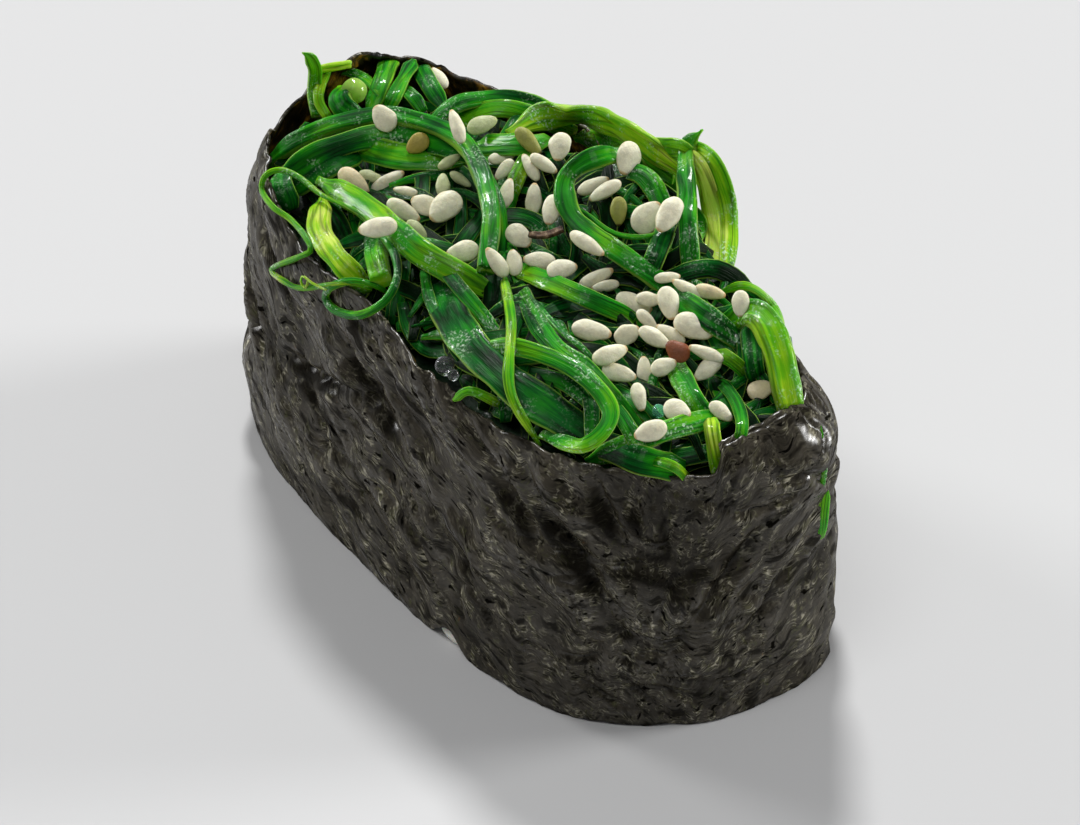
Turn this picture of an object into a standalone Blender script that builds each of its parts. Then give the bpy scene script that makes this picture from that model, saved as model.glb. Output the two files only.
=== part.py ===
"""Gunkan sushi: a block of rice, a nori strip wrapped round it, and seaweed salad with sesame heaped on top.

The long axis is X and the board is z = 0. Sizes are in millimetres and become metres in finish_mesh.
The layout of the salad was read from one corner view, so each of its points is given as it is seen
from EYE: across and down in a picture of PICTURE size, and lift, how far it stands off the form behind it.
"""

import math
import random

import bmesh
import bpy
from mathutils import Matrix, Vector, noise
from mathutils.bvhtree import BVHTree

MM = 0.001

# The wrap: an oval that is a little narrower at the rim than at the board
BASE_HALF = (30.5, 15.3)
RIM_HALF = (30.8, 13.5)
SQUARENESS = 3.0
WALL_HEIGHT = 24.0
LEAN_POWER = 1.5
LEAN_LIMIT = 1.1
BELLY = 0.2
WRAP_THICK = 0.45
LAYER_STEP = 0.3
OVERLAP_START = -0.015
OVERLAP_END = 0.06
OVERLAP_RAMP = 0.03
WRAP_COLUMNS = 70
WRAP_ROWS = 7
CURL_LENGTH = 5.0
CURL_STEPS = 8

# Wrinkles of the wrap: depth, slant, and how far apart its folds and its wider dents are, round and up
WRINKLE = 0.46
WRINKLE_SLANT = 0.42
FOLD_PITCH = (7.0, 4.6)
DENT_PITCH = (13.0, 10.0)
FREE_HEIGHT = 4.0
FOOT_WRINKLE = 0.2

# Round the rim from the near end, as shares of the way round: height over the board, and inward curl
RIM_HEIGHTS = (
    (0.000, 25.2), (0.030, 25.5), (0.070, 24.2), (0.120, 22.4), (0.200, 23.1), (0.260, 23.6), (0.305, 25.7),
    (0.345, 25.8), (0.370, 24.1), (0.410, 24.6), (0.450, 25.8), (0.480, 26.8), (0.505, 26.2), (0.525, 24.4),
    (0.550, 23.7), (0.580, 25.2), (0.620, 24.3), (0.670, 22.6), (0.740, 23.3), (0.800, 22.5), (0.830, 22.0),
    (0.870, 22.3), (0.920, 22.7), (0.960, 22.2), (0.977, 22.5), (0.988, 24.6),
)
RIM_CURLS = (
    (0.000, 60.0), (0.050, 58.0), (0.085, 48.0), (0.130, 30.0), (0.180, 8.0), (0.300, 5.0), (0.450, 10.0),
    (0.530, 12.0), (0.580, 34.0), (0.620, 20.0), (0.700, 8.0), (0.860, 12.0), (0.975, 12.0), (0.990, 45.0),
)

# Where the wrap is pulled in at the near corner: share of the way round, reach of the pull, and depth
NEAR_CORNER = (0.945, 0.06, 0.8)

# The rice under the salad, the grains pressed under it, and the gap that neighbours keep
RICE_TOP = 17.4
RICE_FLOOR = 0.9
GAP = 0.35
RICE_INSET = WRAP_THICK + GAP + 0.6
RICE_SIDES = 40
GRAIN = (5.6, 2.5, 2.1)
GRAIN_UNEVEN = 0.08
GRAIN_PITCH = (9.0, 5.2)
GRAIN_SHIFT = (0.9, 0.5)
GRAIN_LIFT = 0.62
GRAINS_INSET = 1.6

# Where the foot of the wrap lifts off the board: share of the way round, reach and height, with a grain
# that peeks out under it at this heading
LIFTED_EDGE = (0.826, 0.018, 1.5)
PEEKING_TURN = 0.15

# The heap of salad: a low mound with a ridge along its far side
HEAP_EDGE = 22.3
HEAP_CROWN = 3.6
HEAP_FULLNESS = 2.4
FAR_RISE = 1.6
FAR_RISE_FROM = (-16.0, -28.0)
RIDGE_HEIGHT = 5.2
RIDGE_AT = (1.0, 8.0)
RIDGE_SPREAD = (17.0, 4.6)
RIDGE_FADE = 3.0
CORE_SUNK = 0.5
CORE_REACH = 0.93
CORE_SHOULDER = 3.0
CORE_SEGMENTS = (28, 12)
CORE_FLOOR = RICE_TOP + GAP
ROOT_DEPTH = 1.1

# Forms that are only looked along: the steps of the heap's top, and an upright screen inside the far rim
HEAP_STEPS = (72, 34)
HEAP_LIMIT = 0.97
SCREEN_STEPS = 96
SCREEN_INSET = 0.99
SCREEN_TOP = 60.0

# How strands are made: the width and flatness that set thin and round ones apart, the steps between the
# sections and the sides of each kind, least half thickness, width at the tips as a share of the whole, how
# sharply they taper, and how many neighbours on each side even out their twist
THIN_STRAND = 1.0
ROUND_STRAND = 0.8
SECTION_STEPS = (2.0, 3.2)
SECTION_SIDES = (4, 5)
SPAN_PIECES = 12
THINNEST = 0.26
TIP_WIDTH = 0.45
TAPER = 4.0
TWIST_WINDOW = 2

# Loose strands that fill the heap between the ones that are placed
FILLERS = 12
FILLER_WIDTHS = (1.5, 2.3)
FILLER_FLATNESS = (0.4, 0.7)
FILLER_FIELD = ((-22.0, 16.0), (-9.0, 9.0))
FILLER_STEP = 3.0
FILLER_POINTS = (5, 8)
FILLER_LIMIT = 0.88
FILLER_SWING = 0.55
FILLER_BEND = 0.15
FILLER_SUNK = 0.35

# Where the layout was read from
EYE = Vector((224.0, -141.8, 192.8))
AIM = Vector((1.4, 0.0, 10.1))
PICTURE = (1080, 825)
PIXELS_PER_SLOPE = 4050.0

# Strands of the salad: name, width, thickness as a share of it, and the points (across, down, lift)
STRANDS = (
    ("arch", 1.75, 0.85,
     ((262, 172, -1.0), (305, 136, 2.5), (385, 116, 5.0), (460, 140, 5.5), (490, 205, 4.0), (488, 266, 1.6))),
    ("arch_edge", 0.9, 0.7, ((468, 143, 3.5), (499, 205, 2.6), (500, 276, -0.6))),
    ("second_arch", 2.0, 0.45,
     ((272, 186, -0.5), (322, 153, 2.0), (392, 135, 3.4), (464, 153, 2.6), (480, 170, 1.0))),
    ("inner_leaf", 2.4, 0.35, ((350, 143, 1.2), (408, 158, 1.8), (475, 155, 0.2))),
    ("left_leaf", 3.2, 0.3, ((284, 184, 0.0), (332, 160, 1.2), (358, 150, 0.8))),
    ("left_fold", 2.0, 0.4, ((280, 172, 0.6), (283, 190, 1.0), (292, 210, 0.0))),
    ("diagonal", 2.0, 0.6, ((318, 180, 0.3), (366, 207, 2.2), (425, 255, 2.6), (505, 300, -0.8))),
    ("tendril", 0.65, 1.0,
     ((368, 221, 0.2), (341, 205, 1.8), (319, 193, 2.2), (300, 178, 2.4), (281, 170, 2.8), (266, 175, 3.0),
      (262, 190, 3.0), (273, 207, 3.0), (290, 219, 2.6), (305, 236, 2.6), (311, 250, 2.2), (299, 257, 2.0),
      (272, 269, 1.8), (284, 281, 1.8), (301, 288, 1.8), (335, 284, 1.8), (352, 284, 1.8), (372, 290, 0.4))),
    ("ring", 0.7, 1.0,
     ((330, 193, 1.4), (352, 206, 1.8), (372, 224, 2.0), (388, 242, 2.4), (397, 262, 2.6), (396, 282, 2.6),
      (384, 302, 2.2), (360, 315, 1.4), (337, 311, 1.2), (326, 299, 1.2), (331, 287, 1.6), (352, 281, 2.0),
      (376, 286, 1.0), (392, 296, -0.6))),
    ("pod", 1.9, 0.45, ((323, 198, 0.6), (320, 232, 2.0), (344, 266, 1.8), (370, 290, -0.8))),
    ("stub", 1.75, 0.9, ((375, 236, -0.8), (377, 258, 0.6), (381, 281, 1.2))),
    ("broad_leaf", 2.9, 0.3, ((436, 272, -0.6), (458, 328, 1.4), (510, 383, 1.4), (606, 448, -0.6))),
    ("drip", 0.8, 0.8, ((502, 270, 0.0), (511, 322, 3.4), (510, 390, 3.2), (540, 446, -0.4))),
    ("glossy_loop", 1.35, 0.6,
     ((466, 353, 0.2), (514, 347, 2.4), (578, 372, 2.2), (611, 413, 1.8), (584, 446, 1.4), (540, 434, -0.4))),
    ("rim_curl", 0.75, 0.8, ((454, 400, 1.0), (471, 391, 1.4), (503, 406, -0.8))),
    ("long_diagonal", 1.15, 0.6, ((514, 276, -0.4), (552, 340, 1.8), (593, 373, 1.6), (644, 432, -0.4))),
    ("cross_strip", 1.7, 0.4, ((510, 266, 0.0), (575, 293, 1.8), (644, 324, -0.4))),
    ("hook", 1.7, 0.55,
     ((652, 172, 0.6), (608, 155, 2.8), (567, 177, 2.6), (574, 218, 2.4), (625, 257, 2.2), (682, 297, -0.4))),
    ("inner_arc", 1.7, 0.5, ((592, 172, -0.4), (645, 178, 1.6), (676, 240, -0.6))),
    ("near_post", 1.6, 0.5, ((672, 214, 0.6), (655, 258, 1.2), (650, 274, -0.6))),
    ("far_post", 1.5, 0.55, ((702, 130, 0.6), (687, 152, 2.2), (688, 222, 2.6), (692, 282, -0.4))),
    ("yellow_blade", 2.4, 0.4, ((684, 150, 0.6), (705, 183, 1.6), (718, 233, 1.8), (712, 284, -0.8))),
    ("outer_loop", 2.6, 0.45, ((680, 148, 0.0), (713, 162, 0.6), (732, 220, 0.8), (724, 284, -0.8))),
    ("far_arch", 1.6, 0.55, ((424, 128, -0.4), (466, 102, 2.8), (526, 102, 3.4), (574, 122, 1.0))),
    ("far_bow", 1.7, 0.5, ((448, 126, 0.0), (504, 109, 3.0), (580, 132, 0.4))),
    ("crest", 2.5, 0.5, ((508, 134, 0.0), (556, 114, 3.4), (614, 124, 4.0), (684, 172, 2.2))),
    ("crest_blade", 2.0, 0.4, ((586, 134, 0.0), (636, 152, 3.2), (674, 178, 2.2))),
    ("bridge", 1.9, 0.4, ((476, 146, 0.8), (526, 144, 1.6), (548, 138, 0.0))),
    ("raised_tip", 1.2, 0.5, ((302, 53, 1.4), (315, 72, 1.4), (318, 116, -0.8))),
    ("far_strip", 1.9, 0.7, ((391, 60, 0.0), (382, 84, 1.8), (371, 112, -0.4))),
    ("far_blade", 1.3, 0.6, ((414, 60, 0.2), (395, 96, 1.2), (388, 112, -0.6))),
    ("far_edge", 1.5, 0.5, ((418, 64, 0.0), (429, 84, 1.0), (444, 108, -0.4))),
    ("stem", 2.0, 0.95, ((360, 122, -0.8), (341, 104, 1.6), (350, 91, 1.8))),
    ("tube_right", 2.3, 0.75, ((724, 326, -0.4), (755, 315, 2.2), (776, 346, 2.4), (791, 410, -0.6))),
    ("hoop_right", 0.85, 0.7, ((716, 294, -0.2), (746, 286, 2.0), (772, 305, 2.4), (783, 330, 1.4))),
    ("strip_diagonal", 1.8, 0.45, ((654, 284, 0.0), (705, 316, 1.6), (748, 350, -0.4))),
    ("center_blade", 1.7, 0.45, ((670, 356, 0.0), (692, 398, 1.4), (708, 422, -0.2))),
    ("front_blade", 1.6, 0.4, ((586, 462, -0.4), (660, 433, 1.6), (724, 415, 0.8))),
    ("front_stub", 1.2, 0.6, ((711, 420, 1.2), (713, 436, 1.6), (719, 474, -0.2))),
    ("front_wide", 2.2, 0.35, ((598, 452, -0.2), (655, 474, 0.8), (676, 482, -0.4))),
)

# Sesame lies in three drifts: the middle of each as seen, its spread across and down, and its seeds
SEED_DRIFTS = (
    ((404, 183), (44, 40), 15),
    ((560, 212), (62, 52), 22),
    ((656, 345), (52, 44), 20),
)
DRIFT_LIMIT = 2.0
SEED_SPACING = 23.0

# A seed: length, width and thickness, how uneven it is, how far it leans to the eye, how high it lies as a
# share of its half thickness, and how much and over what stretch of its half length it narrows to a point
SEED = (2.9, 1.8, 1.0)
SEED_UNEVEN = 0.1
SEED_LEAN = 0.35
SEED_LIFT = 0.5
SEED_NARROWING = 0.45
SEED_POINT = (-0.2, 1.0)

# Segments round and along a grain or seed
SMALL_SEGMENTS = (6, 3)

# The board that presses the rice flat: its reach in half widths of the wrap, and its thickness
BOARD_REACH = 3.0
BOARD_THICK = 10.0

# Colour and roughness of each material
NORI = ((0.02, 0.022, 0.017), 0.4)
SEAWEED = ((0.02, 0.16, 0.02), 0.25)
RICE = ((0.82, 0.8, 0.72), 0.45)

# Starting values of the random draws
SALAD_DRAW = 11
RICE_DRAW = 5

# Steps that find a direction or tell two places apart
ANGLE_STEP = 0.002
TINY = 1e-6


def clear_scene():
    for obj in list(bpy.data.objects):
        bpy.data.objects.remove(obj)


def make_material(name, colour, roughness):
    material = bpy.data.materials.new(name)
    material.use_nodes = True
    shader = material.node_tree.nodes["Principled BSDF"]
    shader.inputs["Base Color"].default_value = (*colour, 1.0)
    shader.inputs["Roughness"].default_value = roughness
    shader.inputs["Metallic"].default_value = 0.0
    return material


def finish_mesh(bm, name, material, collection):
    """The bmesh, in millimetres, as a named object in metres."""
    bmesh.ops.recalc_face_normals(bm, faces=bm.faces)
    bmesh.ops.scale(bm, vec=(MM, MM, MM), verts=bm.verts)
    mesh = bpy.data.meshes.new(name)
    bm.to_mesh(mesh)
    bm.free()
    obj = bpy.data.objects.new(name, mesh)
    collection.objects.link(obj)
    if material:
        mesh.materials.append(material)
    return obj


def smooth_step(x):
    x = min(max(x, 0.0), 1.0)
    return x * x * (3.0 - 2.0 * x)


def round_table(table, share):
    """The value at a share of the way round, eased between the table's entries."""
    share %= 1.0
    for (a, low), (b, high) in zip(table, table[1:] + ((table[0][0] + 1.0, table[0][1]),)):
        if a <= share < b:
            return low + (high - low) * smooth_step((share - a) / (b - a))
    return table[0][1]


def oval(angle, half):
    c, s = math.cos(angle), math.sin(angle)
    power = 2.0 / SQUARENESS
    return Vector((
        half[0] * math.copysign(abs(c) ** power, c),
        half[1] * math.copysign(abs(s) ** power, s),
        0.0,
    ))


def even_places(points, count):
    """Equal steps along a run of points: the index before each, the share of the way to the next, and
    the length of the whole run."""
    run = [0.0]
    for a, b in zip(points, points[1:]):
        run.append(run[-1] + (b - a).length)
    places, j = [], 0
    for i in range(count + 1):
        target = run[-1] * i / count
        while j < len(run) - 2 and run[j + 1] < target:
            j += 1
        places.append((j, min((target - run[j]) / max(run[j + 1] - run[j], TINY), 1.0)))
    return places, run[-1]


def even_angles(count):
    """Angles of the oval that stand at equal distances along it, and its length."""
    fine = 2 * count
    points = [oval(2.0 * math.pi * i / fine, BASE_HALF) for i in range(fine + 1)]
    places, length = even_places(points, count)
    return [2.0 * math.pi * (j + share) / fine for j, share in places], length


ROUND_STEPS = 720
ROUND_ANGLES, ROUND_LENGTH = even_angles(ROUND_STEPS)


def angle_at(share):
    place = (share % 1.0) * ROUND_STEPS
    i = int(place)
    return ROUND_ANGLES[i] + (ROUND_ANGLES[i + 1] - ROUND_ANGLES[i]) * (place - i)


def oval_half(z):
    """Half length and half width of the wrap's middle surface at a height."""
    h = min(max(z / WALL_HEIGHT, 0.0), LEAN_LIMIT)
    belly = BELLY * math.sin(math.pi * min(h, 1.0))
    return tuple(a + (b - a) * h ** LEAN_POWER + belly for a, b in zip(BASE_HALF, RIM_HALF))


def ripple(ring, z, pitch):
    return noise.noise(Vector((ring.x / pitch[0], ring.y / pitch[0], z / pitch[1])))


def wrinkle(share, z):
    """Slanting folds and dents of damp nori, in millimetres out of the surface, flatter near the board."""
    turn = 2.0 * math.pi * share
    ring = Vector((math.cos(turn), math.sin(turn), 0.0)) * ROUND_LENGTH / (2.0 * math.pi)
    held = FOOT_WRINKLE + (1.0 - FOOT_WRINKLE) * smooth_step(z / FREE_HEIGHT)
    fold = ripple(ring, z * (1.0 + WRINKLE_SLANT), FOLD_PITCH)
    return WRINKLE * held * (fold + ripple(ring, z, DENT_PITCH))


def swell(share, place):
    """A smooth rise round one place of the wrap: its share of the way round, its reach and its height."""
    centre, reach, height = place
    return height * smooth_step(1.0 - abs(share % 1.0 - centre) / reach)


def wrap_point(share, up):
    """A point of the wrap's middle surface: a share of the way round, and a share of the way up it."""
    top = round_table(RIM_HEIGHTS, share)
    curl = math.radians(round_table(RIM_CURLS, share))
    low = swell(share, LIFTED_EDGE)
    run = low + (top - low) * up
    straight = min(run, top - CURL_LENGTH)
    z, inward = straight, 0.0
    piece = (run - straight) / CURL_STEPS
    for i in range(CURL_STEPS):
        turned = curl * smooth_step(piece * (i + 0.5) / CURL_LENGTH)
        z += math.cos(turned) * piece
        inward += math.sin(turned) * piece
    angle, half = angle_at(share), oval_half(z)
    here, ahead = oval(angle, half), oval(angle + ANGLE_STEP, half)
    along = (ahead - here).normalized()
    outward = Vector((along.y, -along.x, 0.0))
    layer = LAYER_STEP * (
        smooth_step((share - (1.0 + OVERLAP_START - OVERLAP_RAMP)) / OVERLAP_RAMP)
        - smooth_step((OVERLAP_END + OVERLAP_RAMP - share) / OVERLAP_RAMP)
    )
    out = wrinkle(share, z) + layer - inward - swell(share, NEAR_CORNER)
    return here + outward * out + Vector((0.0, 0.0, z))


def wrap_surface(columns, rows):
    """The strip as a flat grid bent round the oval, its outer end lapped over its inner end."""
    bm = bmesh.new()
    bmesh.ops.create_grid(bm, x_segments=columns, y_segments=rows, size=0.5)
    first, last = OVERLAP_START, 1.0 + OVERLAP_END
    for v in bm.verts:
        v.co = wrap_point(first + (last - first) * (v.co.x + 0.5), v.co.y + 0.5)
    return bm


def make_wrap(name, material, collection, thickness):
    obj = finish_mesh(wrap_surface(WRAP_COLUMNS, WRAP_ROWS), name, material, collection)
    shell = obj.modifiers.new("thickness", "SOLIDIFY")
    shell.thickness = thickness * MM
    shell.offset = 0.0
    return obj


def heap_reach(x, y):
    """0 at the middle of the heap and 1 at the rim."""
    reach = abs(x / RIM_HALF[0]) ** SQUARENESS + abs(y / RIM_HALF[1]) ** SQUARENESS
    return reach ** (1.0 / SQUARENESS)


def heap_height(x, y):
    """Top of the heap, without its strands' own relief."""
    open_share = max(1.0 - heap_reach(x, y) ** HEAP_FULLNESS, 0.0)
    from_ridge = ((place - middle) / spread for place, middle, spread in zip((x, y), RIDGE_AT, RIDGE_SPREAD))
    ridge = math.exp(-sum(distance ** 2 for distance in from_ridge))
    far_end = FAR_RISE * smooth_step((x - FAR_RISE_FROM[0]) / (FAR_RISE_FROM[1] - FAR_RISE_FROM[0]))
    ridge_rise = RIDGE_HEIGHT * ridge * min(1.0, RIDGE_FADE * open_share)
    return HEAP_EDGE + HEAP_CROWN * open_share + ridge_rise + far_end


def heap_surface():
    """Points and faces of the heap's top out to the rim, to look along."""
    across, along = HEAP_STEPS
    points, faces = [], []
    for j in range(along + 1):
        for i in range(across + 1):
            x = RIM_HALF[0] * (2.0 * i / across - 1.0)
            y = RIM_HALF[1] * (2.0 * j / along - 1.0)
            shrink = min(1.0, HEAP_LIMIT / max(heap_reach(x, y), TINY))
            x, y = x * shrink, y * shrink
            points.append(Vector((x, y, heap_height(x, y))))
    for j in range(along):
        for i in range(across):
            a = j * (across + 1) + i
            faces.append((a, a + 1, a + across + 2, a + across + 1))
    return points, faces


def add_screen(points, faces):
    """An upright screen inside the far half of the rim, where strands stand up against the sky."""
    for i in range(SCREEN_STEPS):
        ends = [oval(2.0 * math.pi * k / SCREEN_STEPS, RIM_HALF) * SCREEN_INSET for k in (i, i + 1)]
        along = ends[1] - ends[0]
        if Vector((along.y, -along.x, 0.0)).dot(EYE) > 0.0:
            continue
        first = len(points)
        for end in ends:
            points += [end + Vector((0.0, 0.0, z)) for z in (HEAP_EDGE, SCREEN_TOP)]
        faces.append((first, first + 2, first + 3, first + 1))


def guide_tree():
    """The form that the layout's sight lines meet: the heap's top, the outside of the wrap and the screen."""
    points, faces = heap_surface()
    add_screen(points, faces)
    bm = wrap_surface(WRAP_COLUMNS, WRAP_ROWS)
    bm.verts.index_update()
    first = len(points)
    points += [v.co.copy() for v in bm.verts]
    faces += [tuple(first + v.index for v in f.verts) for f in bm.faces]
    bm.free()
    return BVHTree.FromPolygons(points, faces)


def sight_line(across, down):
    forward = (AIM - EYE).normalized()
    right = forward.cross(Vector((0.0, 0.0, 1.0))).normalized()
    up = right.cross(forward)
    ray = forward * PIXELS_PER_SLOPE + right * (across - PICTURE[0] / 2) - up * (down - PICTURE[1] / 2)
    return ray.normalized(), forward


def seen_points(tree, seen):
    """The layout's points in space. A sight line that meets nothing keeps its neighbour's distance."""
    forward = (AIM - EYE).normalized()
    depths = []
    for across, down, _ in seen:
        ray, _ = sight_line(across, down)
        hit = tree.ray_cast(EYE, ray)[0]
        depths.append(None if hit is None else (hit - EYE).dot(forward))
    known = [i for i, depth in enumerate(depths) if depth is not None]
    points = []
    for i, (across, down, lift) in enumerate(seen):
        ray, _ = sight_line(across, down)
        depth = depths[i]
        lift -= ROOT_DEPTH if lift <= 0.0 else 0.0
        if depth is None:
            depth = depths[min(known, key=lambda k: abs(k - i))]
        points.append(EYE + ray * ((depth - lift) / ray.dot(forward)))
    return points


def curve_through(points, step):
    """Evenly spaced points of a smooth curve through the given ones."""
    padded = [2 * points[0] - points[1], *points, 2 * points[-1] - points[-2]]
    fine = []
    for a, b, c, d in zip(padded, padded[1:], padded[2:], padded[3:]):
        for k in range(SPAN_PIECES):
            t = k / SPAN_PIECES
            fine.append(0.5 * (2 * b + (c - a) * t + (2 * a - 5 * b + 4 * c - d) * t * t
                               + (3 * b - a - 3 * c + d) * t ** 3))
    fine.append(points[-1])
    length = sum((b - a).length for a, b in zip(fine, fine[1:]))
    places, _ = even_places(fine, max(3, round(length / step)))
    return [fine[j].lerp(fine[j + 1], share) for j, share in places]


def loft_strand(points, normals, width, flatness):
    """A closed strand with a lens-shaped section that tapers at both ends. Width and twist change all
    along it, so it is lofted from section to section."""
    bm = bmesh.new()
    sides = SECTION_SIDES[flatness > ROUND_STRAND]
    turns = [2.0 * math.pi * k / sides for k in range(sides)]
    section = [(math.cos(turn), math.sin(turn)) for turn in turns]
    rings = []
    for i, point in enumerate(points):
        before, after = points[max(i - 1, 0)], points[min(i + 1, len(points) - 1)]
        along = (after - before).normalized()
        up = (normals[i] - along * normals[i].dot(along)).normalized()
        side = along.cross(up)
        share = i / (len(points) - 1)
        half = 0.5 * width * (TIP_WIDTH + (1.0 - TIP_WIDTH) * smooth_step(TAPER * min(share, 1.0 - share)))
        thick = max(half * flatness, THINNEST)
        rings.append([bm.verts.new(point + side * half * c + up * thick * s) for c, s in section])
    for ring, following in zip(rings, rings[1:]):
        for k in range(sides):
            bm.faces.new((ring[k], ring[k + 1 - sides], following[k + 1 - sides], following[k]))
    bm.faces.new(reversed(rings[0]))
    bm.faces.new(rings[-1])
    return bm


def strand_normals(tree, points):
    """The outward direction of the form under each point, smoothed along the strand."""
    raw = []
    for point in points:
        _, normal, _, _ = tree.find_nearest(point)
        to_eye = (EYE - point).normalized()
        if normal.dot(to_eye) < 0.0:
            normal = -normal
        raw.append(normal + to_eye)
    smoothed = []
    for i in range(len(raw)):
        window = raw[max(i - TWIST_WINDOW, 0):i + TWIST_WINDOW + 1]
        smoothed.append(sum(window, Vector()).normalized())
    return smoothed


def filler_points(rng):
    """A loose strand that follows the heap, mostly lengthwise, from a random place."""
    x, y = (rng.uniform(*span) for span in FILLER_FIELD)
    heading = rng.gauss(0.0, FILLER_SWING)
    bend = rng.uniform(-FILLER_BEND, FILLER_BEND)
    points = []
    while len(points) < FILLER_POINTS[1] and heap_reach(x, y) < FILLER_LIMIT:
        points.append(Vector((x, y, heap_height(x, y) - FILLER_SUNK)))
        x += FILLER_STEP * math.cos(heading)
        y += FILLER_STEP * math.sin(heading)
        heading += bend
    return points


def make_core(collection):
    """The mound under the strands: a ball pressed out to the wrap, flat on the rice."""
    bm = bmesh.new()
    bmesh.ops.create_uvsphere(bm, u_segments=CORE_SEGMENTS[0], v_segments=CORE_SEGMENTS[1], radius=1.0)
    middle = 0.5 * (CORE_FLOOR + HEAP_EDGE)
    for v in bm.verts:
        reach = min(math.hypot(v.co.x, v.co.y), 1.0)
        place = oval(math.atan2(v.co.y, v.co.x), RIM_HALF) * CORE_REACH * reach
        top = heap_height(place.x, place.y) - CORE_SUNK
        rise = (top - middle) * smooth_step(CORE_SHOULDER * v.co.z)
        place.z = middle + rise if v.co.z > 0.0 else CORE_FLOOR
        v.co = place
    bmesh.ops.remove_doubles(bm, verts=bm.verts, dist=TINY)
    return finish_mesh(bm, "salad_core", None, collection)


def seed_spots(rng):
    """Places of the seeds as seen: drawn round the middle of each drift, none nearer than SEED_SPACING."""
    spots = []
    for middle, spread, count in SEED_DRIFTS:
        goal = len(spots) + count
        while len(spots) < goal:
            spot = Vector((rng.gauss(middle[0], spread[0]), rng.gauss(middle[1], spread[1])))
            reach = max(abs(spot[k] - middle[k]) / spread[k] for k in range(2))
            if reach < DRIFT_LIMIT and all((spot - other).length > SEED_SPACING for other in spots):
                spots.append(spot)
    return spots


def lay_seed(tree, spot, rng):
    """Matrix that lays a seed flat on what the sight line to the spot meets, turned at random."""
    ray, forward = sight_line(*spot)
    hit, normal, _, _ = tree.ray_cast(EYE, ray)
    if hit is None:
        return None
    normal = (normal if normal.dot(ray) < 0.0 else -normal).lerp(-forward, SEED_LEAN).normalized()
    turn = normal.to_track_quat("Z", "X").to_matrix().to_4x4()
    half = [size * rng.uniform(1.0 - SEED_UNEVEN, 1.0 + SEED_UNEVEN) / 2.0 for size in SEED]
    spin = Matrix.Rotation(rng.uniform(0.0, 2.0 * math.pi), 4, "Z")
    middle = hit + normal * half[2] * SEED_LIFT
    return Matrix.Translation(middle) @ turn @ spin @ Matrix.Diagonal((*half, 1.0))


def make_seed(index, matrix, collection):
    """A flat drop: a coarse ball whose +X end is drawn out to a point."""
    bm = bmesh.new()
    bmesh.ops.create_uvsphere(bm, u_segments=SMALL_SEGMENTS[0], v_segments=SMALL_SEGMENTS[1], radius=1.0)
    for v in bm.verts:
        share = (v.co.x - SEED_POINT[0]) / (SEED_POINT[1] - SEED_POINT[0])
        narrow = 1.0 - SEED_NARROWING * smooth_step(share)
        v.co.y *= narrow
        v.co.z *= narrow
    bmesh.ops.transform(bm, matrix=matrix, verts=bm.verts)
    return finish_mesh(bm, f"seed_{index}", None, collection)


def tree_of(objects):
    """One look-up tree, in millimetres, of all these meshes."""
    points, faces = [], []
    for obj in objects:
        first = len(points)
        points += [v.co / MM for v in obj.data.vertices]
        faces += [tuple(first + i for i in p.vertices) for p in obj.data.polygons]
    return BVHTree.FromPolygons(points, faces)


def apply_modifiers(obj):
    bpy.context.view_layer.update()
    evaluated = obj.evaluated_get(bpy.context.evaluated_depsgraph_get())
    mesh = bpy.data.meshes.new_from_object(evaluated)
    obj.modifiers.clear()
    obj.data = mesh


def keep_largest_piece(obj):
    """Drops loose scraps and the inner skins of hollows that the joining sealed."""
    bm = bmesh.new()
    bm.from_mesh(obj.data)
    unseen, pieces = set(bm.verts), []
    while unseen:
        stack, piece = [unseen.pop()], []
        while stack:
            vert = stack.pop()
            piece.append(vert)
            for edge in vert.link_edges:
                other = edge.other_vert(vert)
                if other in unseen:
                    unseen.remove(other)
                    stack.append(other)
        pieces.append(piece)
    pieces.sort(key=len, reverse=True)
    bmesh.ops.delete(bm, geom=[v for piece in pieces[1:] for v in piece], context="VERTS")
    bm.to_mesh(obj.data)
    bm.free()


def join_all(base, others):
    """One Boolean union of a collection onto the base, applied, with the collection's objects removed."""
    union = base.modifiers.new("union", "BOOLEAN")
    union.operation = "UNION"
    union.operand_type = "COLLECTION"
    union.collection = others
    union.solver = "MANIFOLD"
    apply_modifiers(base)
    for obj in list(others.objects):
        bpy.data.objects.remove(obj)
    keep_largest_piece(base)


def cut_away(obj, cutter):
    cut = obj.modifiers.new("cut", "BOOLEAN")
    cut.operation = "DIFFERENCE"
    cut.object = cutter
    cut.solver = "MANIFOLD"
    apply_modifiers(obj)
    keep_largest_piece(obj)


def make_salad(material, collection, pieces):
    tree = guide_tree()
    rng = random.Random(SALAD_DRAW)
    routes = [(name, width, flat, seen_points(tree, seen)) for name, width, flat, seen in STRANDS]
    while len(routes) < len(STRANDS) + FILLERS:
        points = filler_points(rng)
        if len(points) >= FILLER_POINTS[0]:
            shape = rng.uniform(*FILLER_WIDTHS), rng.uniform(*FILLER_FLATNESS)
            routes.append((f"filler_{len(routes)}", *shape, points))
    strands = []
    for name, width, flat, route in routes:
        points = curve_through(route, SECTION_STEPS[width > THIN_STRAND])
        bm = loft_strand(points, strand_normals(tree, points), width, flat)
        strands.append(finish_mesh(bm, name, None, pieces))
    salad = make_core(collection)
    salad.name = "salad"
    salad.data.materials.append(material)
    seed_tree = tree_of([salad, *strands])
    for i, spot in enumerate(seed_spots(rng)):
        matrix = lay_seed(seed_tree, spot, rng)
        if matrix is not None:
            make_seed(i, matrix, pieces)
    join_all(salad, pieces)
    return salad


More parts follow.
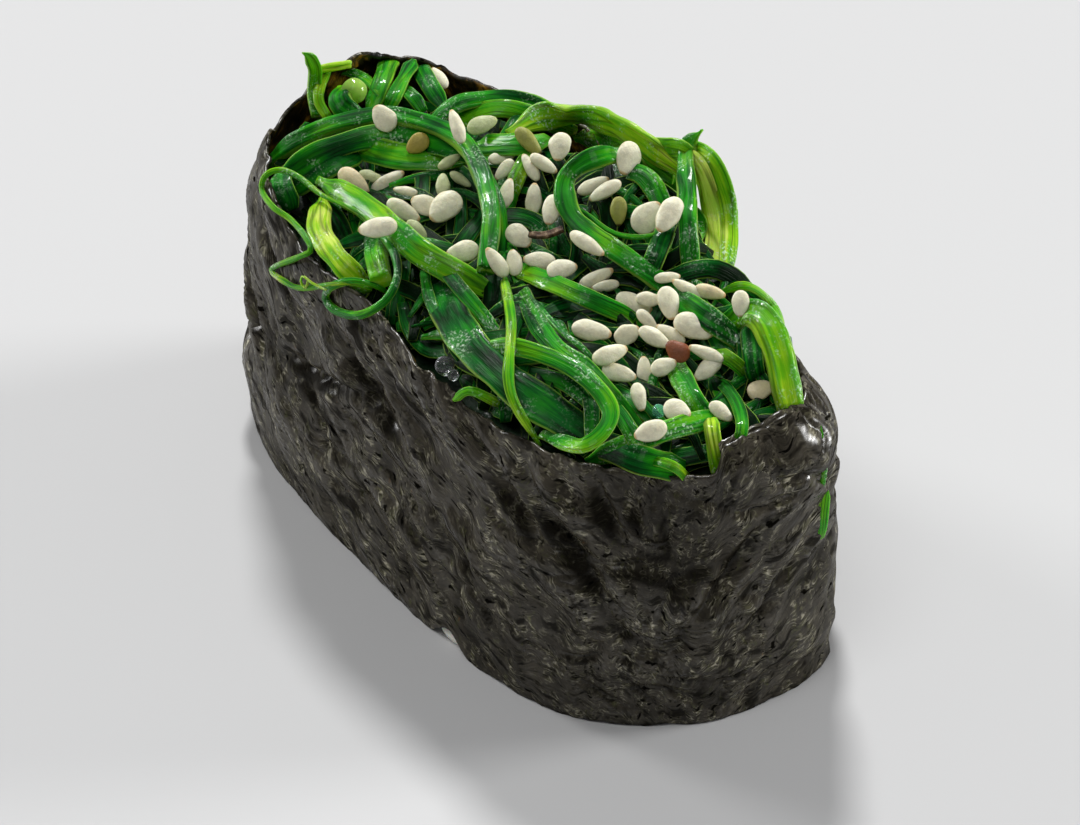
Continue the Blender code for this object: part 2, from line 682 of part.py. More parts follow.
def make_rice_block(material, collection):
    """The rice as an oval block that stands clear of the wrap."""
    bm = bmesh.new()
    bmesh.ops.create_cone(bm, cap_ends=True, segments=RICE_SIDES, radius1=1.0, radius2=1.0, depth=1.0)
    for v in bm.verts:
        z = RICE_FLOOR if v.co.z < 0.0 else RICE_TOP
        half = [h - RICE_INSET for h in oval_half(z)]
        v.co = oval(math.atan2(v.co.y, v.co.x), half) + Vector((0.0, 0.0, z))
    return finish_mesh(bm, "rice", material, collection)


def make_grain(name, spot, heading, rng, collection):
    bm = bmesh.new()
    bmesh.ops.create_uvsphere(bm, u_segments=SMALL_SEGMENTS[0], v_segments=SMALL_SEGMENTS[1], radius=0.5)
    size = [length * rng.uniform(1.0 - GRAIN_UNEVEN, 1.0 + GRAIN_UNEVEN) for length in GRAIN]
    bmesh.ops.rotate(bm, matrix=Matrix.Rotation(math.pi / 2.0, 3, "Y"), verts=bm.verts)
    bmesh.ops.scale(bm, vec=size, verts=bm.verts)
    bmesh.ops.rotate(bm, matrix=Matrix.Rotation(heading, 3, "Z"), verts=bm.verts)
    bmesh.ops.translate(bm, vec=spot + Vector((0.0, 0.0, GRAIN_LIFT)), verts=bm.verts)
    finish_mesh(bm, name, None, collection)


def make_grains(rng, collection):
    """Grains under the block in shifted rows, one of them at the origin, and one at the lifted edge."""
    make_grain("grain_middle", Vector(), rng.uniform(0.0, math.pi), rng, collection)
    half = [h - GRAINS_INSET for h in BASE_HALF]
    columns, rows = (int(h // pitch) + 1 for h, pitch in zip(half, GRAIN_PITCH))
    for row in range(-rows, rows + 1):
        for column in range(-columns, columns + 1):
            spot = Vector(((column + (row % 2) / 2.0) * GRAIN_PITCH[0], row * GRAIN_PITCH[1], 0.0))
            spot += Vector([rng.uniform(-shift, shift) for shift in GRAIN_SHIFT] + [0.0])
            reach = sum(abs(spot[k] / half[k]) ** SQUARENESS for k in range(2))
            if reach < 1.0 and spot.length > GRAIN[0] / 2.0:
                make_grain(f"grain_{row}_{column}", spot, rng.uniform(0.0, math.pi), rng, collection)
    peek = oval(angle_at(LIFTED_EDGE[0]), BASE_HALF) + Vector((0.0, GRAIN[1] / 3.0, 0.0))
    make_grain("grain_peeking", peek, PEEKING_TURN, rng, collection)


def make_board(collection):
    """A block whose top is the board, to press the rice flat on."""
    bm = bmesh.new()
    bmesh.ops.create_cube(bm, size=1.0)
    bmesh.ops.translate(bm, vec=(0.0, 0.0, -0.5), verts=bm.verts)
    size = [BOARD_REACH * half for half in BASE_HALF] + [BOARD_THICK]
    bmesh.ops.scale(bm, vec=size, verts=bm.verts)
    return finish_mesh(bm, "board", None, collection)


def main():
    clear_scene()
    names = ("gunkan_sushi", "pieces", "cutters")
    sushi, pieces, cutters = (bpy.data.collections.new(name) for name in names)
    for collection in (sushi, pieces, cutters):
        bpy.context.scene.collection.children.link(collection)
    make_wrap("nori", make_material("nori", *NORI), sushi, WRAP_THICK)
    clearance = make_wrap("wrap_clearance", None, cutters, WRAP_THICK + 2.0 * GAP)
    apply_modifiers(clearance)
    board = make_board(cutters)
    for cutter in (clearance, board):
        cutter.hide_render = True
        cutter.display_type = "WIRE"
    salad = make_salad(make_material("seaweed", *SEAWEED), sushi, pieces)
    cut_away(salad, clearance)
    rice = make_rice_block(make_material("rice", *RICE), sushi)
    make_grains(random.Random(RICE_DRAW), pieces)
    join_all(rice, pieces)
    cut_away(rice, clearance)
    cut_away(rice, board)
    bpy.data.collections.remove(pieces)


main()
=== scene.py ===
"""The looks of the gunkan sushi: a wrinkled nori wrap, rice grains, loose seaweed strands and sesame seeds.

Sizes are in millimetres, and the pieces are scaled to metres when they are made. The layout of the salad
is given as it is seen from EYE: across and down in a picture of PICTURE size, and lift off what is behind.
"""

import math
import random

import bmesh
import bpy
from mathutils import Matrix, Vector, noise
from mathutils.bvhtree import BVHTree


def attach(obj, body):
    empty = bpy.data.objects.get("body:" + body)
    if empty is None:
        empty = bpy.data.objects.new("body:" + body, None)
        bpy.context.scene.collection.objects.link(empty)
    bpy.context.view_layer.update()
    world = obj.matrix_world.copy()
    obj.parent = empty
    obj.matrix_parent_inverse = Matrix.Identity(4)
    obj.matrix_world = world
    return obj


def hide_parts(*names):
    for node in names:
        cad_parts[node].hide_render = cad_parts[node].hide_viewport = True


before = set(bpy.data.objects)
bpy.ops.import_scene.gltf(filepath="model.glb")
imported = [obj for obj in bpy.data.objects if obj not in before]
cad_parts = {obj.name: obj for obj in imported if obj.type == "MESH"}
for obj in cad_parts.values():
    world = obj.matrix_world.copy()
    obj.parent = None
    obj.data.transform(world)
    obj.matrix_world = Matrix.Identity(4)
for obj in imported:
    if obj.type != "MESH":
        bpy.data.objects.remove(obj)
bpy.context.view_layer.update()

MM = 0.001
TINY = 1e-6
NEARLY_ROUND = (0.0, 6.28)

# The wrap, as the solid has it
BASE_HALF = (30.5, 15.3)
RIM_HALF = (30.8, 13.5)
SQUARENESS = 3.0
WALL_HEIGHT = 24.0
LEAN_POWER = 1.5
LEAN_LIMIT = 1.1
BELLY = 0.2
LAYER_STEP = 0.3
OVERLAP_START = -0.015
OVERLAP_END = 0.06
OVERLAP_RAMP = 0.03
CURL_LENGTH = 5.0
CURL_STEPS = 8
ANGLE_STEP = 0.002
WRINKLE = 0.46
WRINKLE_SLANT = 0.42
FOOT_WRINKLE = 0.2
FOLD_PITCH = (7.0, 4.6)
DENT_PITCH = (13.0, 10.0)
FREE_HEIGHT = 4.0
NEAR_CORNER = (0.945, 0.06, 0.8)
LIFTED_EDGE = (0.826, 0.018, 1.5)
RIM_HEIGHTS = (
    (0.000, 25.2), (0.030, 25.5), (0.070, 24.2), (0.120, 22.4), (0.200, 23.1), (0.260, 23.6), (0.305, 25.7),
    (0.345, 25.8), (0.370, 24.1), (0.410, 24.6), (0.450, 25.8), (0.480, 26.8), (0.505, 26.2), (0.525, 24.4),
    (0.550, 23.7), (0.580, 25.2), (0.620, 24.3), (0.670, 22.6), (0.740, 23.3), (0.800, 22.5), (0.830, 22.0),
    (0.870, 22.3), (0.920, 22.7), (0.960, 22.2), (0.977, 22.5), (0.988, 24.6),
)
RIM_CURLS = (
    (0.000, 60.0), (0.050, 58.0), (0.085, 48.0), (0.130, 30.0), (0.180, 8.0), (0.300, 5.0), (0.450, 10.0),
    (0.530, 12.0), (0.580, 34.0), (0.620, 20.0), (0.700, 8.0), (0.860, 12.0), (0.975, 12.0), (0.990, 45.0),
)

# The heap's form, as the solid has it
HEAP_EDGE = 22.3
HEAP_CROWN = 3.6
HEAP_FULLNESS = 2.4
HEAP_LIMIT = 0.97
HEAP_STEPS = (72, 34)
FAR_RISE = 1.6
FAR_RISE_FROM = (-16.0, -28.0)
RIDGE_HEIGHT = 5.2
RIDGE_AT = (1.0, 8.0)
RIDGE_SPREAD = (17.0, 4.6)
RIDGE_FADE = 3.0
ROOT_DEPTH = 1.1
RICE_TOP = 17.4

# An upright screen for the sight lines that pass over the far rim, and the guide's coarse strip
SCREEN_STEPS = 96
SCREEN_INSET = 0.99
SCREEN_TOP = 60.0
GUIDE_STEPS = (70, 7)

# The fine sheet
SHEET_THICK = 0.28
SHEET_COLUMNS = 500
SHEET_ROWS = 84
FOLD_MIDDLE = 0.972
FOLD_FALL = 0.32
FOLD_SOFTNESS = 3.0
SHORT_FIBRES_AT = 0.95
SHORT_FIBRES = (1.0, 9.0)
FOOT_RELIEF = 0.25
FOOT_RELIEF_HEIGHT = 2.0
RELIEF_PLACE = Vector((31.0, 7.0, 0.0))
WANDER = 1.5
WANDER_PITCH = (8.0, 8.0)
LONG_FOLD_PITCH = (10.0, 3.4)
LONG_FOLD_DEPTH = 0.6
CREASE_PITCH = (6.0, 2.1)
CREASE_DEPTH = 0.5
CREASE_PLACE = 20.0
CREASE_SHARPNESS = 3.2
CREASE_PATCH = 1.6
CREASE_PATCH_PITCH = (10.0, 6.0)
PUCKER_PITCH = (2.2, 0.9)
PUCKER_DEPTH = 0.15
FINE_PUCKER = 0.3
FINER = 2.3
RELIEF_TOP = 0.4
RELIEF_LEFT = 0.3

# Single deep creases: share of the way round and height at both ends, depth, and half width
CREASES = (
    ((0.868, 21.4), (0.945, 7.2), 1.0, 0.75), ((0.832, 20.8), (0.900, 13.4), 0.8, 0.6),
    ((0.652, 11.2), (0.748, 15.8), 0.7, 0.5), ((0.908, 21.6), (0.926, 17.4), 0.8, 0.5),
    ((0.930, 21.0), (0.938, 18.0), 0.5, 0.4), ((0.962, 8.6), (1.004, 17.4), 0.7, 0.6),
    ((0.990, 7.0), (1.034, 14.6), 0.7, 0.6), ((0.610, 20.4), (0.680, 17.0), 0.6, 0.6),
    ((0.700, 20.2), (0.800, 13.0), 0.6, 0.8), ((0.700, 7.6), (0.800, 9.8), 0.4, 0.5),
    ((0.760, 12.6), (0.880, 7.4), 0.6, 0.8), ((0.550, 18.6), (0.610, 7.0), 0.6, 0.7),
    ((0.575, 16.0), (0.640, 8.0), 0.5, 0.5), ((1.010, 21.0), (1.048, 18.8), 0.6, 0.4),
    ((0.140, 18.0), (0.220, 9.0), 0.6, 0.7), ((0.260, 19.0), (0.330, 8.0), 0.6, 0.7),
    ((0.300, 6.0), (0.400, 12.0), 0.5, 0.6), ((0.390, 20.0), (0.440, 10.0), 0.6, 0.7),
    ((0.460, 17.0), (0.520, 9.0), 0.5, 0.6), ((0.080, 14.0), (0.150, 6.0), 0.5, 0.6),
)
CREASE_MARGIN = 4.0
CREASE_ENDS = 0.35
CREASE_LIP = 0.4
CREASE_LIP_AT = 2.2
CREASE_WOBBLE = 0.9
CREASE_WOBBLE_PITCH = (3.0, 3.0)
FRAY_PITCH = 1.6
FRAY_DEPTH = 0.22
RIM_FRAY = 0.5
FOOT_FRAY = 7.5

# The camera, which is also where the layout was read from
EYE = Vector((224.0, -141.8, 192.8))
AIM = Vector((1.4, 0.0, 10.1))
PICTURE = (1080, 825)
PIXELS_PER_SLOPE = 4050.0
LENS = 135.0
SENSOR = 36.0

# Strands: name, width, thickness as a share of it, tone from deep to yellow-green, kind, and the points
STRANDS = (
    ("arch", 1.5, 0.85, 0.39, "stalk",
     ((262, 172, -1.0), (305, 136, 2.5), (385, 116, 5.0), (460, 140, 5.5), (490, 205, 4.0),
      (486, 270, 1.6))),
    ("arch_edge", 0.9, 0.7, 0.3, "stalk", ((468, 143, 3.5), (499, 205, 2.6), (500, 276, -0.6))),
    ("second_arch", 2.0, 0.45, 0.35, "blade",
     ((272, 186, -0.5), (322, 153, 2.0), (392, 135, 3.4), (464, 153, 2.6), (480, 170, 1.0))),
    ("inner_leaf", 2.4, 0.35, 0.6, "blade", ((350, 143, 1.2), (408, 158, 1.8), (475, 155, 0.2))),
    ("left_leaf", 3.2, 0.3, 0.3, "blade", ((284, 184, 0.0), (332, 160, 1.2), (358, 150, 0.8))),
    ("left_fold", 2.0, 0.4, 0.45, "blade", ((280, 172, 0.6), (283, 190, 1.0), (292, 210, 0.0))),
    ("diagonal", 2.0, 0.6, 0.62, "blade",
     ((318, 180, 0.3), (366, 207, 2.2), (425, 255, 2.6), (505, 300, -0.8))),
    ("tendril", 0.5, 1.0, 0.66, "tendril",
     ((368, 221, 0.2), (341, 205, 1.8), (319, 193, 2.2), (300, 178, 2.4), (281, 170, 2.8),
      (266, 175, 3.0), (262, 190, 3.0), (273, 207, 3.0), (290, 219, 2.6), (305, 236, 2.6),
      (311, 250, 2.2), (299, 257, 2.0), (272, 269, 1.8), (284, 281, 1.8), (301, 288, 1.8),
      (335, 284, 1.8), (352, 284, 1.8), (372, 290, 0.4))),
    ("ring", 0.7, 1.0, 0.4, "tendril",
     ((330, 193, 1.4), (352, 206, 1.8), (372, 224, 2.0), (388, 242, 2.4), (397, 262, 2.6),
      (396, 282, 2.6), (384, 302, 2.2), (360, 315, 1.4), (337, 311, 1.2), (326, 299, 1.2),
      (331, 287, 1.6), (352, 281, 2.0), (376, 286, 1.0), (392, 296, -0.6))),
    ("pod", 1.9, 0.45, 0.85, "blade",
     ((323, 198, 0.6), (320, 232, 2.0), (344, 266, 1.8), (370, 290, -0.8))),
    ("stub", 1.75, 0.9, 0.5, "stalk", ((375, 236, -0.8), (377, 258, 0.6), (381, 281, 1.2))),
    ("broad_leaf", 2.9, 0.3, 0.16, "blade",
     ((436, 272, -0.6), (458, 328, 1.4), (510, 383, 1.4), (606, 448, -0.6))),
    ("drip", 0.8, 0.8, 0.7, "tendril",
     ((502, 270, 0.0), (511, 322, 3.4), (510, 390, 3.2), (540, 446, -0.4))),
    ("glossy_loop", 1.35, 0.6, 0.5, "blade",
     ((466, 353, 0.2), (514, 347, 2.4), (578, 372, 2.2), (611, 413, 1.8), (584, 446, 1.4),
      (540, 434, -0.4))),
    ("rim_curl", 0.75, 0.8, 0.7, "tendril", ((454, 400, 1.0), (471, 391, 1.4), (503, 406, -0.8))),
    ("long_diagonal", 1.15, 0.6, 0.4, "blade",
     ((514, 276, -0.4), (552, 340, 1.8), (593, 373, 1.6), (644, 432, -0.4))),
    ("cross_strip", 1.6, 0.4, 0.45, "blade", ((510, 266, 0.0), (575, 293, 1.8), (644, 324, -0.4))),
    ("hook", 1.6, 0.55, 0.36, "stalk",
     ((652, 172, 0.6), (608, 155, 2.8), (567, 177, 2.6), (574, 218, 2.4), (625, 257, 2.2),
      (682, 297, -0.4))),
    ("ring_wire", 0.4, 1.0, 0.5, "tendril",
     ((576, 206, 1.2), (614, 233, 1.8), (650, 236, 1.4), (668, 224, -0.4))),
    ("inner_arc", 1.7, 0.5, 0.4, "blade", ((592, 172, -0.4), (645, 178, 1.6), (676, 240, -0.6))),
    ("near_post", 1.6, 0.5, 0.3, "blade", ((672, 214, 0.6), (655, 258, 1.2), (650, 274, -0.6))),
    ("far_post", 1.5, 0.55, 0.45, "horn",
     ((702, 130, 0.6), (687, 152, 2.2), (688, 222, 2.6), (692, 282, -0.4))),
    ("yellow_blade", 1.8, 0.4, 1.0, "blade",
     ((686, 148, 1.2), (704, 176, 2.6), (714, 222, 2.8), (712, 284, -0.8))),
    ("outer_loop", 1.5, 0.6, 0.76, "blade",
     ((680, 146, 0.0), (712, 160, 0.9), (729, 212, 1.2), (724, 284, -0.8))),
    ("behind_arch", 1.6, 0.5, 0.7, "blade",
     ((640, 152, 0.4), (660, 147, 2.0), (682, 149, 2.6), (698, 160, 1.4))),
    ("far_arch", 1.6, 0.55, 0.3, "blade",
     ((424, 128, -0.4), (466, 102, 2.8), (526, 102, 3.4), (574, 122, 1.0))),
    ("far_bow", 1.7, 0.5, 0.65, "blade", ((448, 126, 0.0), (504, 109, 3.0), (580, 132, 0.4))),
    ("crest", 2.3, 0.5, 0.74, "blade",
     ((508, 134, 0.0), (556, 114, 3.4), (614, 124, 4.0), (684, 172, 2.2))),
    ("crest_fill", 2.6, 0.4, 0.5, "blade",
     ((648, 158, 0.0), (668, 176, 0.6), (684, 198, 0.6), (692, 240, -0.4))),
    ("crest_blade", 2.0, 0.4, 0.55, "blade", ((586, 134, 0.0), (636, 152, 3.2), (674, 178, 2.2))),
    ("bridge", 1.9, 0.4, 0.55, "blade", ((476, 146, 0.8), (526, 144, 1.6), (548, 138, 0.0))),
    ("spark", 1.3, 0.5, 0.6, "blade", ((530, 152, 0.6), (516, 180, 1.2), (508, 204, -0.4))),
    ("raised_tip", 1.2, 0.5, 0.6, "horn",
     ((303, 53, 1.4), (309, 57, 1.4), (315, 70, 1.4), (314, 92, 1.0), (318, 116, -0.8))),
    ("short_bar", 0.7, 0.8, 0.9, "stalk", ((316, 70, 0.4), (332, 67, 1.0), (350, 64, 0.6))),
    ("far_curl", 0.9, 0.6, 0.55, "blade",
     ((338, 70, 0.0), (360, 76, 1.2), (378, 92, 1.0), (388, 108, -0.4))),
    ("far_leaf", 1.3, 0.4, 0.45, "blade", ((398, 86, 0.0), (412, 96, 1.0), (424, 112, -0.2))),
    ("far_strip", 1.7, 0.7, 0.35, "blade", ((391, 60, 0.0), (382, 84, 1.8), (371, 112, -0.4))),
    ("far_blade", 1.3, 0.6, 0.45, "blade", ((414, 60, 0.2), (395, 96, 1.2), (388, 112, -0.6))),
    ("far_edge", 1.5, 0.5, 0.3, "blade", ((418, 64, 0.0), (429, 84, 1.0), (444, 108, -0.4))),
    ("olive_ring", 0.9, 0.7, 0.75, "stalk",
     ((328, 70, 0.4), (320, 86, 1.2), (319, 102, 1.0), (328, 118, -0.4))),
    ("stem", 2.0, 0.95, 0.45, "stalk", ((360, 122, -0.8), (341, 104, 1.6), (347, 93, 1.3))),
    ("tube_right", 2.3, 0.75, 0.66, "stalk",
     ((724, 326, -0.4), (755, 315, 2.2), (776, 346, 2.4), (791, 410, -0.6))),
    ("tube_fold", 1.6, 0.4, 0.3, "blade", ((750, 322, 1.6), (754, 364, 1.0), (757, 382, -0.4))),
    ("hoop_right", 0.85, 0.7, 0.65, "tendril",
     ((716, 294, -0.2), (746, 286, 2.0), (772, 305, 2.4), (783, 330, 1.4))),
    ("strip_diagonal", 1.8, 0.45, 0.35, "blade", ((654, 284, 0.0), (705, 316, 1.6), (748, 350, -0.4))),
    ("short_blade", 1.1, 0.5, 0.6, "blade", ((716, 352, 0.4), (734, 362, 1.2), (750, 378, -0.2))),
    ("center_blade", 1.7, 0.45, 0.5, "blade", ((670, 356, 0.0), (692, 398, 1.4), (708, 422, -0.2))),
    ("front_blade", 1.6, 0.4, 0.4, "blade", ((586, 462, -0.4), (660, 433, 1.6), (724, 415, 0.8))),
    ("front_stub", 1.2, 0.6, 0.85, "stalk", ((711, 420, 1.2), (713, 436, 1.6), (719, 474, -0.2))),
    ("front_v", 0.8, 0.6, 0.6, "blade", ((640, 458, 0.0), (672, 466, 1.2), (690, 482, -0.4))),
    ("front_wide", 2.2, 0.35, 0.25, "blade", ((598, 444, -0.2), (640, 460, 0.4), (684, 470, -0.2))),
    ("seam_fringe", 0.5, 0.5, 0.6, "tendril", ((820, 425, 0.9), (825, 462, 1.1), (821, 492, 1.0))),
    ("pale_curl", 0.2, 1.0, 0.85, "tendril",
     ((326, 290, 2.6), (312, 283, 2.8), (303, 276, 3.0), (301, 283, 3.0), (306, 288, 2.8),
      (308, 281, 2.8))),
    ("gap_blade", 1.2, 0.4, 0.3, "blade",
     ((404, 238, 0.0), (436, 262, 1.0), (470, 300, 1.0), (502, 340, -0.2))),
    ("gap_strip", 0.9, 0.5, 0.35, "blade",
     ((424, 262, 0.0), (430, 300, 0.8), (452, 344, 0.6), (470, 372, -0.2))),
    ("wet_strip", 0.9, 0.5, 0.22, "blade",
     ((520, 290, 0.0), (536, 330, 1.4), (566, 362, 1.4), (600, 392, -0.2))),
    ("wet_thread", 0.5, 0.8, 0.3, "tendril",
     ((530, 296, 0.4), (560, 330, 1.8), (586, 352, 1.6), (620, 396, -0.2))),
    ("low_blade", 1.3, 0.4, 0.5, "blade",
     ((606, 400, -0.2), (626, 424, 1.0), (640, 450, 0.6), (646, 470, -0.2))),
    ("low_strip", 1.0, 0.4, 0.4, "blade",
     ((716, 376, -0.2), (736, 402, 0.8), (742, 430, 0.4), (730, 456, -0.2))),
    ("seam_leaf", 0.95, 0.35, 0.72, "blade", ((826, 488, 0.9), (823, 512, 1.0), (821, 538, 0.8))),
)

# Seeds as seen: blunt end, pointed end, width as a share of the length, and a lift for two that lie high
SEEDS = {
    "cream": (
        (446, 90, 432, 70, 0.55), (394, 130, 376, 107, 0.85), (463, 145, 452, 112, 0.3),
        (372, 192, 407, 171, 0.42), (389, 201, 421, 220, 0.5), (437, 212, 412, 200, 0.95),
        (459, 196, 432, 222, 0.75), (418, 194, 395, 190, 0.3), (399, 226, 361, 231, 0.55),
        (479, 249, 447, 256, 0.7), (505, 277, 485, 249, 0.5), (517, 277, 513, 251, 0.65),
        (489, 161, 515, 157, 0.5), (511, 165, 501, 176, 0.6), (503, 210, 511, 180, 0.5),
        (539, 182, 524, 156, 0.42), (531, 156, 557, 173, 0.45), (563, 134, 558, 162, 0.8),
        (534, 216, 536, 184, 0.55), (556, 196, 549, 226, 0.65), (631, 143, 621, 175, 0.75),
        (578, 194, 609, 180, 0.45), (622, 183, 591, 201, 0.45), (636, 232, 660, 204, 0.8),
        (679, 199, 658, 234, 0.6), (571, 234, 604, 256, 0.36, 3.6), (508, 228, 530, 246, 0.9),
        (556, 264, 524, 260, 0.6), (547, 273, 577, 268, 0.7), (581, 287, 614, 269, 0.42),
        (620, 283, 593, 288, 0.45), (657, 279, 676, 277, 0.45), (702, 298, 672, 281, 0.36),
        (617, 297, 652, 312, 0.55), (638, 299, 660, 301, 0.6), (664, 288, 672, 321, 0.65),
        (572, 328, 611, 336, 0.55), (616, 340, 638, 329, 0.9), (639, 313, 654, 328, 0.5),
        (640, 330, 670, 347, 0.5), (685, 344, 657, 327, 0.45), (674, 320, 713, 336, 0.66),
        (592, 362, 626, 349, 0.55), (601, 370, 635, 379, 0.55), (645, 379, 644, 362, 0.6),
        (652, 372, 675, 363, 0.7), (723, 361, 689, 347, 0.3), (719, 360, 694, 380, 0.55),
        (636, 384, 642, 412, 0.55), (664, 406, 690, 417, 0.95), (667, 426, 635, 437, 0.65),
        (741, 293, 741, 315, 0.7), (710, 404, 730, 420, 0.6),
    ),
    "tan": ((340, 169, 371, 196, 0.58), (747, 395, 772, 387, 0.9), (694, 289, 725, 296, 0.5)),
    "amber": ((428, 137, 409, 151, 0.9),),
    "green": (
        (468, 132, 497, 121, 0.65, 3.6), (440, 168, 458, 157, 0.45), (451, 173, 471, 187, 0.42),
        (443, 198, 443, 176, 0.6), (408, 222, 426, 238, 0.5), (363, 176, 379, 180, 0.5),
    ),
    "olive": ((517, 129, 540, 155, 0.5), (619, 197, 619, 226, 0.6)),
    "brown": ((685, 358, 670, 346, 0.8),),
}
TWIG = ((529, 235, 1.7), (546, 235, 1.9), (563, 229, 1.9))
TWIG_WIDTH = 0.55
TWIG_THICK = 0.9
TWIG_STEP = 0.2

# Drops: name, place, radius, colour and the share of light that goes through
DROP_DENT = 0.12
DROP_DENT_FINENESS = 1.2
DROPS = (
    ("pale_ball", (354, 91, 3.0), 1.05, (0.5, 0.8, 0.14), 0.5),
    ("clear_blob", (445, 366, 0.3), 0.75, (0.95, 0.98, 0.99), 0.97),
    ("clear_blob_small", (453, 375, 0.5), 0.45, (0.95, 0.98, 0.99), 0.97),
    ("teal_bubble", (659, 411, 0.6), 0.5, (0.3, 0.85, 0.6), 0.8),
)

# A seed's form, and how it lies
SEED_SEGMENTS = (24, 18)
SEED_DRAWS = (0.0, 90.0)
SEED_SHARPEST = 0.02
SEED_THICK = 0.15
SEED_LENGTHS = (2.0, 3.1)
SEED_WIDTHS = (0.4, 0.8)
SEED_LOOK = 0.75
SEED_FACING = 0.65
SEED_RAISED = 0.95
SEED_CLIMB = 1.9
SEED_CROWD = 2.2
SEED_PILE = 0.3
SEED_TAPER = 0.2
SEED_SHOULDER = -0.07
SEED_DENT = 0.12
SEED_DENT_FINENESS = 1.5
SEED_NUB = 0.04
SEED_THIN_RIM = 0.35
SEED_RIM_DARK = 0.72

# Where along a seed, or out from its middle, each thing starts and is whole
SEED_TAPERS = (-0.5, 1.0)
SEED_NUB_AT = (0.85, 1.0)
SEED_TIP_AT = (0.76, 0.96)
SEED_RIM_AT = (0.8, 1.0)

# Cream seeds on the side of the heap that faces away
BACK_SEEDS = 10
BACK_SEED_HALF = (1.45, 0.85, 0.45)
BACK_SEED_FIELD = ((-20.0, 8.0), (9.8, 11.6))
BACK_SEED_TILT = -0.6
BACK_SEED_ROLL = 0.4
BACK_SEED_LIFT = 0.1

# The tangle of loose strands under and between the placed ones
SALAD_DRAWS = 3
TANGLE_STRANDS = 400
TANGLE_DEPTHS = (-2.6, -0.5)
TANGLE_WIDTHS = (0.5, 1.7)
TANGLE_THIN = 1.0
TANGLE_FLATNESS = (0.3, 0.6)
# Painted shade: the tangle's tone is kept low, and drops further with depth, to darken it under and between
# the placed strands
TANGLE_TONE = 0.28
TANGLE_SHADE_BY_DEPTH = 0.2
TANGLE_TONE_SPREAD = 0.12
TANGLE_HEADING = 0.8
TANGLE_BEND = 0.22
TANGLE_BOB = 0.6
TANGLE_BOB_TURN = 0.9
TANGLE_POINTS = (5, 12)
TANGLE_LIMIT = 0.93
KEPT_CLEAR = (534, 120, 612, 156)
TANGLE_FIELD = ((-29.0, 27.0), (-12.0, 12.0))
TANGLE_STEP = 1.6
TANGLE_SECTION_STEP = 0.8
CORE_SUNK = 2.6
CORE_SHARE = 0.96
CORE_LUMPS = ((0.5, 0.5), (0.25, 1.3))
WELD = 0.001

# A strand's course
SPAN_PIECES = 12
SECTION_STEP = 0.4
NORMAL_WINDOW = 8
PHASES = (0.0, 50.0)
TWIST = 0.25
SHADE_LEAN = 0.13
TIP_RISE = 6.0
LEAST_THICK = 0.14
STRAND_APART = 5.0
CUT_TONE = 0.3
CUT_EDGE = 0.97

# What varies along a strand: its reach, its pitch, and for two of them a place in the noise
TURNING = (0.4, 4.0)
SWELLING = (0.16, 2.4, 9.0)
SHADING = (0.3, 3.5, 3.0)

# Waves in a strand's edges: their reach, how fast they change across it, and their pitch along it
EDGE_WAVE = (0.1, 1.5, 1.3)

# Rice grains on the underside
RICE_DRAWS = 5
RICE_FOOT = 1.1
RICE_INSET = 2.4
RICE_SIDES = 64
GRAIN_SEGMENTS = (12, 10)
GRAIN_SIZE = (5.4, 2.4, 2.1)
GRAIN_VARIES = (0.9, 1.1)
GRAIN_RISE = 0.8
GRAIN_PITCH = (4.6, 2.35)
GRAIN_STRAY = (0.8, 0.5)
GRAIN_FIELD = (26.6, 11.6)
GRAIN_ROWS = 7
PEEK_INSET = 1.35
PEEK_HEADING = 0.15

# What lies under the rim keeps inside the wall
WALL_REACH = 2.5
WALL_GAP = 0.25
FAR_SIDE = -2.0
NEAR_END = 24.0
ALL_ROUND = -99.0

# Colours, in linear light, some of them by the value that picks them
NORI_SHEET = ((0.3, (0.027, 0.0232, 0.0165)), (0.7, (0.06, 0.052, 0.038)))
NORI_STREAK = (0.14, 0.125, 0.09)
NORI_OLIVE = (0.075, 0.08, 0.026)
NORI_RUST = (0.12, 0.058, 0.018)
NORI_WISP_AND_HIGHLIGHT = (0.56, 0.52, 0.4)
NORI_HAIR = (0.3, 0.29, 0.15)
# Painted shade: the colour of the creases, fold valleys and grooves, and of the pits
NORI_HOLLOW_SHADE = (0.002, 0.0016, 0.001)
NORI_PIT_SHADE = (0.001, 0.001, 0.0008)
# The amber stops are painted glow of light coming through the sheet
NORI_INSIDE_AND_GLOW = (
    (0.42, (0.004, 0.005, 0.002)), (0.53, (0.03, 0.018, 0.003)), (0.61, (0.3, 0.15, 0.01)),
    (0.7, (0.75, 0.5, 0.04)),
)
STRAND_TONES = (
    (0.0, (0.0003, 0.009, 0.001)), (0.2, (0.0008, 0.085, 0.008)), (0.45, (0.014, 0.26, 0.005)),
    (0.7, (0.13, 0.42, 0.004)), (0.88, (0.32, 0.56, 0.01)), (1.0, (0.55, 0.7, 0.1)),
)
STRAND_VEIN = (0.0005, 0.012, 0.001)
# Painted glow of light through the thin strand edges; cut ends get the same paler colour as their own
STRAND_EDGE_GLOW_AND_CUT = (0.4, 0.62, 0.08)
# Painted highlight: the colour of the white glint flecks
STRAND_PAINTED_GLINT = (0.55, 0.75, 0.5)
STRAND_GLOW = (0.35, 1.0, 0.15)
